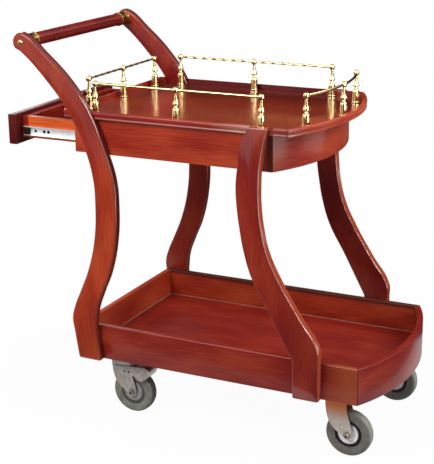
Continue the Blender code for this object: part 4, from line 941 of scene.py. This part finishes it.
class Tier:
    """The boards of a tier: straight sides that meet a bow at mitred corners."""

    def __init__(self, end_x, centre_x, radius, wall, bottom, top, low_round, top_round):
        self.end_x, self.wall = end_x, wall
        self.centre_x, self.radius = centre_x, radius
        self.bottom, self.top = bottom, top
        self.low_round, self.top_round = low_round, top_round

    def crease(self, inset=0):
        """Where the bow meets the sides, on their outer faces or inside them."""
        return self.centre_x + math.sqrt(
            (self.radius - inset) ** 2 - (BODY_HALF - inset) ** 2)

    def mitred(self, bm, side, keep):
        """Cut a board where bow and side meet; keep is 1 for the bow, -1 for the side."""
        outer = Vector((self.crease(), side * BODY_HALF, 0))
        inner = Vector((self.crease(self.wall), side * (BODY_HALF - self.wall), 0))
        across = (outer - inner).normalized()
        normal = Vector((across.y * side, -across.x * side, 0)) * keep
        bmesh.ops.bisect_plane(bm, geom=bm.verts[:] + bm.edges[:] + bm.faces[:],
                               plane_co=outer + normal * FIT / 8, plane_no=normal,
                               clear_inner=True, clear_outer=False)
        return fill_ends(bm)

    def rounded(self, bm):
        """Round a board's lower and upper edges and its edges at the mitres."""
        for z, radius, segments in ((self.bottom, self.low_round, 2),
                                    (self.top, self.top_round, 5)):
            if radius:
                eased(bm, radius, segments, where=level_edge(z))
        return eased(bm, MITRE_EASE, 2, where=mitre_edge)

    def bow(self):
        """The bowed board, bent past its mitres and cut back to them."""
        turn = math.degrees(math.asin(BODY_HALF / self.radius)) + BOW_SPARE
        near = math.radians(-turn)
        inner = self.radius - self.wall
        ring = [(self.centre_x + r * math.cos(near), r * math.sin(near), z)
                for r, z in ((self.radius, self.bottom), (self.radius, self.top),
                             (inner, self.top), (inner, self.bottom))]
        bm = Run(ring).bend((self.centre_x, 0), 2 * turn, BOW_STEPS).done()
        for side in (-1, 1):
            self.mitred(bm, side, 1)
        return self.rounded(bm)

    def straight(self, side):
        """The straight board of one side."""
        span = sorted((side * BODY_HALF, side * (BODY_HALF - self.wall)))
        board = box((self.end_x, span[0], self.bottom), (self.crease(), span[1], self.top))
        return self.rounded(self.mitred(board, side, -1))

    def end(self):
        """The board across the handle end, between the straight ones."""
        inside = BODY_HALF - self.wall - FIT
        return self.rounded(box((self.end_x, -inside, self.bottom),
                                (self.end_x + self.wall, inside, self.top)))


apron = Tier(APRON_END_X, BOW_CENTRE_X, APRON_BOW_RADIUS, APRON_THICKNESS, APRON_BOTTOM,
             APRON_TOP, APRON_EASE, 0)
lower = Tier(LOWER_END_X, LOWER_BOW_CENTRE_X, LOWER_BOW_RADIUS, LOWER_WALL, LOWER_BOTTOM,
             LOWER_TOP, LOWER_EASE, LOWER_ROUND)
piece(apron.bow(), "bowed_apron", cherry_upper_bow, ["apron_bow"])
piece(lower.bow(), "bowed_lower_wall", cherry_lower_bow, ["lower_bow"])
for label, side in SIDES:
    piece(apron.straight(side), f"apron_board_{label}",
          cherry_near_apron if side < 0 else cherry_far_apron, [f"apron_side_{label}"])
    piece(lower.straight(side), f"lower_wall_{label}",
          cherry_lower_near if side < 0 else cherry_lower_far, [f"lower_side_{label}"])
for name, tier, top in (("apron", apron, APRON_TOP),
                        ("lower", lower, LOWER_TOP - MITRE_LINE_LOWER)):
    for label, side in SIDES:
        line = rod(MITRE_LINE_RADIUS, top - tier.bottom - MITRE_LINE_SHORTER, 12)
        moved(eased(line, MITRE_LINE_EASE, 1),
              (tier.crease(), side * (BODY_HALF - MITRE_LINE_RADIUS), (top + tier.bottom) / 2))
        piece(line, f"stained_mitre_{name}_{label}", dark_filler)
piece(lower.end(), "lower_wall_end", cherry_lower_end, ["lower_end"])


# Dried glue that shows where the lower floor meets its walls

floor_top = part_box("lower_panel")[1].z
glue_half = BODY_HALF - LOWER_WALL
glue_end = LOWER_END_X + LOWER_WALL
glue_reach = LOWER_BOW_RADIUS - LOWER_WALL
glue_turn = math.asin(glue_half / glue_reach)
glue_length = lower.crease(LOWER_WALL) - glue_end


def glue_section(place, across):
    """Corners of a small three-sided bead, standing in an inner corner."""
    place, across = Vector(place), Vector(across)
    return [place, place + across * FLOOR_GLUE, place + Vector((0, 0, FLOOR_GLUE))]


for label, side in SIDES:
    bead = Run(glue_section((glue_end, side * glue_half, floor_top), (0, -side, 0)))
    piece(bead.straight((glue_length, 0, 0)).done(), f"glue_bead_{label}", glue)
bead = Run(glue_section((glue_end, -glue_half, floor_top), (1, 0, 0)))
piece(bead.straight((0, 2 * glue_half, 0)).done(), "glue_bead_end", glue)
outward = Vector((math.cos(-glue_turn), math.sin(-glue_turn), 0))
bead = Run(glue_section(Vector((LOWER_BOW_CENTRE_X, 0, floor_top)) + outward * glue_reach,
                        -outward))
piece(bead.bend((LOWER_BOW_CENTRE_X, 0), 2 * math.degrees(glue_turn), 40).done(),
      "glue_bead_bow", glue)


# Rim round the upper tray

rim_section = [(RIM_LIP * inset, RIM_BOTTOM + (RIM_TOP - RIM_BOTTOM) * up)
               for inset, up in RIM_MOULDING_SHARES]
rim_section += [(RIM_RABBET, RIM_BOTTOM), (RIM_RABBET, RIM_SEAT), (RIM_LIP, RIM_SEAT)]
rim_across = RIM_HALF - RIM_CORNER
rim_turn = math.degrees(math.asin(rim_across / (RIM_BOW_RADIUS - RIM_CORNER)))
rim_corner_x = BOW_CENTRE_X + math.sqrt((RIM_BOW_RADIUS - RIM_CORNER) ** 2 - rim_across ** 2)


def rim_ring(x, side):
    """The moulding's section, standing across a side of the tray."""
    return [(x, side * (RIM_HALF - inset), z) for inset, z in rim_section]


def leg_middle(kind, z):
    """Middle of a leg, at the point of its shares that is nearest to a height."""
    rear, front = leg_edges(kind)
    nearest = min(range(len(rear)), key=lambda i: abs(rear[i][1] - z))
    return (rear[nearest][0] + front[nearest][0]) / 2


rim_back_x, rim_front_x = [leg_middle(kind, (RIM_BOTTOM + RIM_TOP) / 2) for kind in LEGS]
bow_run = Run(rim_ring(RIM_BOW_START_X, -1))
bow_run.straight((rim_corner_x - RIM_BOW_START_X, 0, 0))
bow_run.bend((rim_corner_x, -rim_across), 90 - rim_turn, 5)
bow_run.bend((BOW_CENTRE_X, 0), 2 * rim_turn, BOW_STEPS)
bow_run.bend((rim_corner_x, rim_across), 90 - rim_turn, 5)
bow_run.straight((RIM_BOW_START_X - rim_corner_x, 0, 0))
strips = []                     # beside the front legs' tops, where only the lip goes on
for label, side in SIDES:
    span = sorted((side * (RIM_HALF - RIM_RABBET - RIM_STRIP_PLAY),
                   side * (RIM_HALF - RIM_LIP)))
    strips.append(box((FRONT_LEG_TOP_X + 2 * FIT, span[0], RIM_SEAT + FIT / 3),
                      (RIM_BOW_START_X + RIM_STRIP_LAP, span[1], RIM_TOP - FIT / 3)))
# the bow's moulding has the bow board's painted shade and grey painted reflection at its ends
piece(combined(bow_run.done(), strips, "UNION"), "moulded_rim_bow", cherry_upper_bow,
      ["rim_bow"])
end_run = Run(rim_ring(rim_back_x, 1))
end_run.straight((RIM_END_X + RIM_CORNER - rim_back_x, 0, 0))
end_run.bend((RIM_END_X + RIM_CORNER, rim_across), 90, 8)
end_run.straight((0, -2 * rim_across, 0))
end_run.bend((RIM_END_X + RIM_CORNER, -rim_across), 90, 8)
end_run.straight((rim_back_x - RIM_END_X - RIM_CORNER, 0, 0))
rooms = [room for label, side in SIDES for room in leg_room(side)]
piece(combined(end_run.done(), rooms, "DIFFERENCE"), "moulded_rim_end", cherry_y, ["rim_end"])
for label, side in SIDES:
    run = Run(rim_ring(rim_back_x, side)).straight((rim_front_x - rim_back_x, 0, 0))
    piece(combined(run.done(), leg_room(side), "DIFFERENCE"), f"moulded_rim_{label}",
          cherry_near_rim if side < 0 else cherry_far_rim, [f"rim_{label}"])


# Brass gallery

def post_profile():
    """Ball, bell, collar, bullet and foot of a turned post."""
    top = RAIL_Z - POST_FOOT_Z
    ball = arc((0, top), BALL_RADIUS, BALL_ANGLES)
    return ball + [(radius, top - down) for radius, down in POST_TURNING] + list(POST_FOOT)


def twisted_rod(start, end):
    """Two strands' outline, turned as it is drawn out along a straight."""
    start, end = Vector(start), Vector(end)
    length = (end - start).length
    bm = bmesh.new()
    bmesh.ops.create_circle(bm, segments=20, radius=RAIL_RADIUS)
    for vert in bm.verts:
        turn = math.atan2(vert.co.y, vert.co.x)
        vert.co *= STRAND_MIDDLE + STRAND_SWELL * math.cos(2 * turn)
    steps = int(length / TWIST_STEP)
    bmesh.ops.spin(bm, geom=bm.verts[:] + bm.edges[:], cent=(0, 0, 0), axis=(0, 0, 1),
                   dvec=(0, 0, length / steps), angle=2 * math.pi * length / TWIST_PITCH,
                   steps=steps, use_duplicate=False)
    return aimed(fill_ends(bm), start, end - start)


def plain_rod(start, end):
    """A plain round rail between two points."""
    start, end = Vector(start), Vector(end)
    return aimed(rod(RAIL_RADIUS, (end - start).length, 24), (start + end) / 2, end - start)


def bowed_rod():
    """The plain rail over the bow, bent round the bow's centre."""
    turn = math.asin(POST_PLACES["bow"][-1][1] / RAIL_BOW_RADIUS) + RAIL_TAIL / RAIL_BOW_RADIUS
    start = Vector((math.cos(-turn), math.sin(-turn), 0)) * RAIL_BOW_RADIUS
    bm = bmesh.new()
    bmesh.ops.create_circle(bm, segments=24, radius=RAIL_RADIUS)
    moved(moved(bm, turn=(math.pi / 2, "X")), start, (-turn, "Z"))
    bmesh.ops.spin(bm, geom=bm.verts[:] + bm.edges[:], cent=(0, 0, 0), axis=(0, 0, 1),
                   angle=2 * turn, steps=48, use_duplicate=False)
    return moved(fill_ends(bm), (BOW_CENTRE_X, 0, RAIL_Z))


for name, places in POST_PLACES.items():
    (x0, y0), (x1, y1) = places[0], places[-1]
    if name == "bow":
        rail = bowed_rod()
    elif name == "end":
        rail = twisted_rod((x0, y0 - RAIL_TAIL, RAIL_Z), (x1, y1 + RAIL_TAIL, RAIL_Z))
    else:
        straight_rod = plain_rod if name == "near" else twisted_rod
        rail = straight_rod((x0 - RAIL_TAIL, y0, RAIL_Z), (x1 + RAIL_TAIL, y1, RAIL_Z))
    piece(rail, f"gallery_rail_{name}", aged_brass if name == "end" else brass,
          [f"gallery_{name}"])
    for number, (x, y) in enumerate(places, 1):
        piece(moved(turned(post_profile()), (x, y, POST_FOOT_Z)),
              f"gallery_post_{name}_{number}", brass, [f"gallery_{name}"])


# Drawer front and slides

piece(eased(box(*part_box("drawer_front")), DRAWER_FRONT_ROUND, 4), "drawer_overlay_front",
      cherry_dark, ["drawer_front"], "drawer")


def screw_profile(radius):
    """A screw's head deep in its hole, with a dimple for the driver."""
    return [(0, 0.0002), (radius * 0.3, 0.0001), (radius * 0.45, 0.0005),
            (radius - FIT, 0.0003), (radius - FIT, 0), (0, 0)]


for label, side in SIDES:
    low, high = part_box(f"slide_drawer_{label}")
    web = side * min(abs(low.y), abs(high.y))
    tip = side * max(abs(low.y), abs(high.y))
    middle_z = (low.z + high.z) / 2
    inner = web + side * SLIDE_SHEET
    section = [(web, high.z), (tip, high.z), (tip, high.z - SLIDE_SHEET),
               (inner, high.z - SLIDE_SHEET), (inner, low.z + SLIDE_SHEET),
               (tip, low.z + SLIDE_SHEET), (tip, low.z), (web, low.z)]
    channel = Run([(low.x, y, z) for y, z in section]).straight((high.x - low.x, 0, 0))
    holes = []
    for number, (along, radius) in enumerate(SLIDE_HOLES, 1):
        place = (low.x + along, web, middle_z)
        hole = rod(radius, SLIDE_HOLE_DEPTH, 20)
        holes.append(moved(hole, place, (math.pi / 2, "X")))
        screw = facing(laid_along_y(turned(screw_profile(radius), 20)), side)
        piece(moved(screw, place), f"slide_screw_{label}_{number}", black_steel_and_painted_shade,
              body="drawer")
    piece(combined(channel.done(), holes, "DIFFERENCE"), f"slide_channel_{label}", slide_zinc,
          [f"slide_drawer_{label}"], "drawer")
    span = sorted((inner, tip))
    bumper = box((low.x + BUMPER_START, span[0], low.z + SLIDE_SHEET + FIT),
                 (low.x + BUMPER_END, span[1], high.z - SLIDE_SHEET - FIT))
    piece(eased(bumper, BUMPER_ROUND, 3), f"slide_bumper_{label}", black_rubber_and_painted_shade,
          body="drawer")


# Casters, each made about its swivel axis and then set in place

def channel_strip():
    """An inverted U of bent sheet, wider than the fork, for its outline to be cut from."""
    half = FORK_GAP / 2 + FORK_SHEET
    bm = box((-STRIP_HALF_LENGTH, -half, STRIP_BOTTOM), (STRIP_HALF_LENGTH, half, CROWN_TOP))
    eased(bm, FORK_BEND, 4, where=level_edge(CROWN_TOP, FORK_GAP))
    under = CROWN_TOP - FORK_SHEET
    inner = box((-HOLLOW_HALF_LENGTH, -FORK_GAP / 2, HOLLOW_BOTTOM),
                (HOLLOW_HALF_LENGTH, FORK_GAP / 2, under))
    eased(inner, FORK_BEND - FORK_SHEET, 3, where=level_edge(under, FORK_GAP))
    return combined(bm, [inner], "DIFFERENCE")


def fork():
    """Pressed fork: a bent strip cut to shoulders, tapered cheeks and a round axle boss."""
    rear, front = [[(way * FORK_HALF_LENGTH * along, WHEEL_RADIUS + FORK_HEIGHT * up)
                    for along, up in shares]
                   for way, shares in ((-1, FORK_REAR_SHARES), (1, FORK_FRONT_SHARES))]
    boss = arc((TRAIL, WHEEL_RADIUS), FORK_BOSS_RADIUS, FORK_BOSS_ANGLES)
    points = rear + boss + front
    cut = upright(slab(points, FORK_CUT_WIDTH, (0, len(points) - 1), 5))
    return combined(channel_strip(), [cut], "INTERSECT")


def hexagon_bolt():
    """Axle with a chamfered hexagon nut and a washer at each end."""
    end = FORK_FACE + AXLE_PROUD
    shaft = turned(both_halves([(0, end), (AXLE_TIP_RADIUS, end),
                                (AXLE_RADIUS, end - AXLE_CHAMFER)]), 20)
    parts = []
    for side in (-1, 1):
        nut = eased(rod(NUT_RADIUS, NUT_HEIGHT, 6), NUT_EASE, 2)
        outside = FORK_FACE + WASHER_SHEET
        parts.append(moved(nut, (0, 0, side * (outside + NUT_HEIGHT / 2))))
        washer = turned([(0, outside), (WASHER_RADIUS, outside), (WASHER_RADIUS, FORK_FACE),
                         (0, FORK_FACE)], 28)
        parts.append(upended(washer, side))
    return laid_along_y(combined(shaft, parts, "UNION"))


def axle_ends():
    """Dimples in the ends of an axle, near black: painted shade of the hollows there."""
    end = FORK_FACE + AXLE_PROUD
    whole = bmesh.new()
    for side in (1, -1):
        dimple = turned([(radius, end + height) for radius, height in AXLE_DIMPLE], 20)
        add_to(whole, upended(dimple, side))
    return laid_along_y(whole)


def hub():
    """Nylon wheel centre: boss, dished web with a raised ring, and a stepped rim."""
    return laid_along_y(turned(both_halves(HUB_HALF), 48, closed=True))


def tyre():
    """Rubber tyre with rounded shoulders and a parting line round its tread."""
    return laid_along_y(turned(both_halves(TYRE_HALF), 72, closed=True))


def groove_ring(side):
    """Ring in the groove between hub and tyre, on one side of a wheel: black on the front
    wheels, where it is painted shade of the groove, and grey on the back ones.
    """
    return facing(laid_along_y(turned(GROOVE_RING, 48, closed=True)), side)


def top_plate():
    """Bolted plate with its swivel race, dust lip and kingpin below."""
    plate = box((-PLATE_HALF_LENGTH, -PLATE_HALF_WIDTH, PLATE_TOP - PLATE_SHEET),
                (PLATE_HALF_LENGTH, PLATE_HALF_WIDTH, PLATE_TOP))
    eased(plate, PLATE_CORNER, 5, where=lambda edge: upright_edge(edge, PLATE_SHEET / 2))
    eased(plate, PLATE_EASE, 2)
    parts = [turned(RACE_TURNING, 36)]
    for x in (-PLATE_SCREW_X, PLATE_SCREW_X):
        for y in (-PLATE_SCREW_Y, PLATE_SCREW_Y):
            head = rod(SCREW_RADIUS, SCREW_HEIGHT, 24, SCREW_TOP_RADIUS)
            parts.append(moved(head, (x, y, PLATE_TOP - SCREW_DOWN)))
    return combined(plate, parts, "UNION")


def brake_board(shares, thickness, corners):
    """A board cut to an outline of the pedal, standing lengthwise on the caster."""
    points = [(BRAKE_PIVOT[0] + BRAKE_LENGTH * along, BRAKE_TOP - BRAKE_DEPTH * down)
              for along, down in shares]
    return upright(slab(points, thickness, corners, 6))


def brake():
    """Stamped pedal: two cheeks on the fork's pins and a curved plate over the tyre."""
    body = brake_board(BRAKE_SHARES, 2 * (FORK_FACE + BRAKE_SHEET), BRAKE_CORNERS)
    pocket = brake_board(BRAKE_POCKET_SHARES, 2 * FORK_FACE, BRAKE_POCKET_CORNERS)
    return combined(eased(body, BRAKE_ROUND), [pocket], "DIFFERENCE")


def rivets():
    """Domed heads of the pins that the pedal turns on, and of the spring's pin beside them."""
    whole = bmesh.new()
    for along in (0, SPRING_PIN_X):
        for side in (-1, 1):
            head = laid_along_y(turned(RIVET, 20))
            add_to(whole, moved(facing(head, side), (
                BRAKE_PIVOT[0] + along, side * (FORK_FACE + BRAKE_SHEET), BRAKE_PIVOT[1])))
    return whole


CASTER_FINISHES = {             # fork, hub, rings in the hub's groove and tyre
    "back": (zinc, grimy_nylon, grimy_seal, worn_rubber),
    "front": (zinc_with_painted_reflection, hub_nylon, black_rubber_and_painted_shade, tyre_rubber),
}
for end, x in CASTER_X.items():
    plating, nylon, ring, rubber = CASTER_FINISHES[end]
    for label, side in SIDES:
        swivel, wheel, pedal = f"swivel_{end}_{label}", f"wheel_{end}_{label}", f"brake_{label}"
        spot = (x, side * CASTER_HALF, 0)
        axle = (x + TRAIL, side * CASTER_HALF, WHEEL_RADIUS)
        rows = [
            (top_plate(), spot, "top_plate", zinc, "frame", "zinc_steel", "plate"),
            (fork(), spot, "bent_fork", plating, swivel, "zinc_steel", "fork"),
            (hexagon_bolt(), axle, "hexagon_bolt", axle_steel, swivel, "zinc_steel", "axle"),
            (axle_ends(), axle, "axle_ends", black_steel_and_painted_shade, swivel, "zinc_steel", None),
            (hub(), axle, "wheel_centre", nylon, wheel, "hub_nylon", "hub"),
            (tyre(), axle, "rubber_tyre", rubber, wheel, "grey_rubber", "tyre"),
            (groove_ring(-1), axle, "groove_ring_near", ring, wheel, "grey_rubber", None),
            (groove_ring(1), axle, "groove_ring_far", ring, wheel, "grey_rubber", None),
        ]
        if end == "back":
            rows += [
                (brake(), spot, "pedal", zinc, pedal, "zinc_steel", "brake"),
                (rivets(), spot, "pedal_rivets", black_steel_and_painted_shade, pedal, "zinc_steel", None),
            ]
        base = f"caster_{end}_{label}"
        for shape, place, name, material, body, slot, node in rows:
            piece(moved(shape, place), f"{base}_{name}", material,
                  [f"{base}_{node}"] if node else (), body)


# Finishes of the boards that stay as they are in the model

NODE_FINISHES = {
    "tray_panel": cherry_floor, "lower_panel": cherry_lower_floor,
    "drawer_inner_front": cherry_y,
    "drawer_side_near": cherry_drawer_near, "drawer_side_far": cherry_drawer_far,
    "drawer_back": cherry_y, "drawer_bottom": cherry_x,
    "slide_cabinet_near": slide_zinc, "slide_cabinet_far": slide_zinc,
}
for name, material in NODE_FINISHES.items():
    for holder in nodes[name].material_slots:
        holder.material = material


# Studio

FLOOR_SIZE = (30, 30)
FLOOR_GREY = "#C8C8C8"
FLOOR_GLOW = 0.965              # share of plain white near the trolley
FLOOR_FADE = (0.55, 1.3)        # how far out the floor starts to go over to white, and ends
WORLD_DIM = 0.24                # the white world's light on the trolley


def stage_plane(name, size, place, turn, material):
    """A flat card of the studio, which isn't part of the trolley."""
    bm = bmesh.new()
    bmesh.ops.create_grid(bm, x_segments=1, y_segments=1, size=0.5)
    bmesh.ops.scale(bm, verts=bm.verts, vec=(*size, 1))
    mesh = bpy.data.meshes.new(name)
    bm.to_mesh(mesh)
    bm.free()
    mesh.materials.append(material)
    obj = bpy.data.objects.new(name, mesh)
    bpy.context.scene.collection.objects.link(obj)
    obj.location = place
    obj.rotation_euler = turn
    obj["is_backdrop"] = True
    return obj


def seen_by(tree, *rays):
    """1 for the rays that are to see plain white, and 0 for those that light the trolley."""
    path = add(tree, "ShaderNodeLightPath").outputs
    seen = path[rays[0]]
    for ray in rays[1:]:
        seen = add(tree, "ShaderNodeMath", {"operation": "MAXIMUM"},
                   {0: seen, 1: path[ray]}).outputs[0]
    return seen


def floor_material():
    """A white floor that keeps a pale shadow and fades to the background's white."""
    material = bpy.data.materials.new("white_studio_floor")
    material.use_nodes = True
    tree = material.node_tree
    tree.nodes.clear()
    place = add(tree, "ShaderNodeTexCoord").outputs["Object"]
    reach = add(tree, "ShaderNodeVectorMath", {"operation": "LENGTH"}, {0: place})
    fade = add(tree, "ShaderNodeMapRange", inputs={
        "Value": reach.outputs["Value"], "From Min": FLOOR_FADE[0], "From Max": FLOOR_FADE[1],
        "To Min": FLOOR_GLOW, "To Max": 1.0})
    share = add(tree, "ShaderNodeMath", {"operation": "MULTIPLY"},
                {0: fade.outputs["Result"],
                 1: seen_by(tree, "Is Camera Ray", "Is Glossy Ray")})
    matt = add(tree, "ShaderNodeBsdfDiffuse", inputs={"Color": linear(FLOOR_GREY)})
    glow = add(tree, "ShaderNodeEmission", inputs={"Color": (1, 1, 1, 1), "Strength": 1.0})
    mix = add(tree, "ShaderNodeMixShader", inputs={
        0: share.outputs[0], 1: matt.outputs[0], 2: glow.outputs[0]})
    add(tree, "ShaderNodeOutputMaterial", inputs={"Surface": mix.outputs[0]})
    return material


stage_plane("studio_floor", FLOOR_SIZE, (0, 0, 0), (0, 0, 0), floor_material())

# Camera, as fitted to the photograph
AZIMUTH = math.radians(26.42)
ELEVATION = math.radians(17.09)
ROLL = math.radians(-0.69)
CAMERA_PLACE = Vector((1.1438, -2.3638, 1.2079))
FOCAL_PIXELS = 1235.9
IMAGE_HEIGHT = 464
SENSOR = 36.0

toward = Vector((math.sin(AZIMUTH), -math.cos(AZIMUTH), 0))
STANDING = math.pi / 2
FLAGS = (                       # name, size, place, turn: black cards that gloss alone sees
    ("flag_before", (2.6, 2.6), toward * 3.9 + Vector((0, 0, 1.5)), (STANDING, 0, AZIMUTH)),
    ("flag_behind", (5.4, 3.9), toward * -3.6 + Vector((0.5, 0.2, 1.95)),
     (STANDING, 0, AZIMUTH)),
    ("flag_right", (2.6, 3.7), (3.4, 2.6, 1.85), (STANDING, 0, -0.95)),
    ("flag_corner", (2.4, 2.3), (1.96, 4.08, 1.15), (STANDING, 0, -0.37)),
    ("flag_floor_camera", (3.6, 2.4), (1.35, -2.75, 0.01), (0, 0, AZIMUTH)),
    ("flag_floor_before", (3.4, 2.4), (-0.9, -1.65, 0.01), (0, 0, 0)),
    ("flag_floor_beside", (2.6, 3.1), (1.9, 1.45, 0.01), (0, 0, 0)),
    ("flag_floor_behind", (3.0, 2.4), (-0.9, 1.75, 0.01), (0, 0, 0)),
)
flag = new_material("black_studio_flag", Base_Color=linear("#0A0A0A"), Roughness=1.0,
                    Specular_IOR_Level=0.0)[0]
for row in FLAGS:
    card = stage_plane(*row, flag)
    card.visible_camera = False
    card.visible_diffuse = False
    card.visible_shadow = False
    card.visible_transmission = False

back = Vector((math.sin(AZIMUTH) * math.cos(ELEVATION),
               -math.cos(AZIMUTH) * math.cos(ELEVATION), math.sin(ELEVATION)))
right = Vector((math.cos(AZIMUTH), math.sin(AZIMUTH), 0))
up = back.cross(right)
right_rolled = right * math.cos(ROLL) + up * math.sin(ROLL)
up_rolled = up * math.cos(ROLL) - right * math.sin(ROLL)
camera = bpy.data.objects.new("camera", bpy.data.cameras.new("camera"))
bpy.context.scene.collection.objects.link(camera)
axes = Matrix((right_rolled, up_rolled, back)).transposed().to_4x4()
camera.matrix_world = Matrix.Translation(CAMERA_PLACE) @ axes
camera.data.sensor_fit = "AUTO"
camera.data.sensor_width = SENSOR
camera.data.lens = FOCAL_PIXELS / IMAGE_HEIGHT * SENSOR
camera.data.clip_start = 0.05
camera.data.clip_end = 60
bpy.context.scene.camera = camera

WINDOWS = (                     # name, place, target, size, power, whether gloss alone sees it
    ("key_window", (-0.8, -2.0, 2.2), (0, 0, 0.55), (1.3, 1.1), 66, False),
    ("rear_window", (-2.4, 1.6, 1.3), (0, 0, 0.45), (1.4, 1.4), 38, False),
    ("side_window", (2.3, 0.2, 2.1), (0.1, 0, 0.55), (0.5, 1.4), 60, False),
    ("top_window", (0.0, 0.2, 3.2), (0, 0, 0.4), (1.8, 1.4), 6, False),
    ("edge_strip", (1.05, -0.55, 0.55), (0.1, 0, 0.5), (0.07, 1.1), 10, True),
    ("edge_window", (1.7, -0.7, 1.9), (0.15, 0, 0.45), (0.5, 1.2), 100, True),
    ("bow_low_window", (1.2, 0.75, 0.28), (0.24, -0.08, 0.64), (0.5, 0.35), 1.1, True),
    ("low_window", (1.3, -0.17, 0.31), (0.19, -0.2, 0.64), (0.60, 0.40), 3.5, True),
    ("bow_window", (1.3, 1.35, 2.0), (0.25, 0, 0.5), (1.2, 0.5), 14, True),
)
for name, place, target, size, power, gloss_alone in WINDOWS:
    light = bpy.data.lights.new(name, "AREA")
    light.shape = "RECTANGLE"
    light.size, light.size_y = size
    light.energy = power
    lamp = bpy.data.objects.new(name, light)
    bpy.context.scene.collection.objects.link(lamp)
    lamp.location = place
    lamp.rotation_euler = (Vector(target) - Vector(place)).to_track_quat("-Z", "Y").to_euler()
    lamp.visible_camera = False
    lamp.visible_diffuse = not gloss_alone

world = bpy.data.worlds.new("white_studio")
world.use_nodes = True
sky = world.node_tree
sky.nodes.clear()
seen = seen_by(sky, "Is Camera Ray", "Is Glossy Ray", "Is Transmission Ray")
dim = add(sky, "ShaderNodeBackground", inputs={"Color": (1, 1, 1, 1), "Strength": WORLD_DIM})
bright = add(sky, "ShaderNodeBackground", inputs={"Color": (1, 1, 1, 1), "Strength": 1.0})
mix = add(sky, "ShaderNodeMixShader", inputs={0: seen, 1: dim.outputs[0], 2: bright.outputs[0]})
add(sky, "ShaderNodeOutputWorld", inputs={"Surface": mix.outputs[0]})
bpy.context.scene.world = world
bpy.context.scene.view_settings.view_transform = "Standard"

low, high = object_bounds()
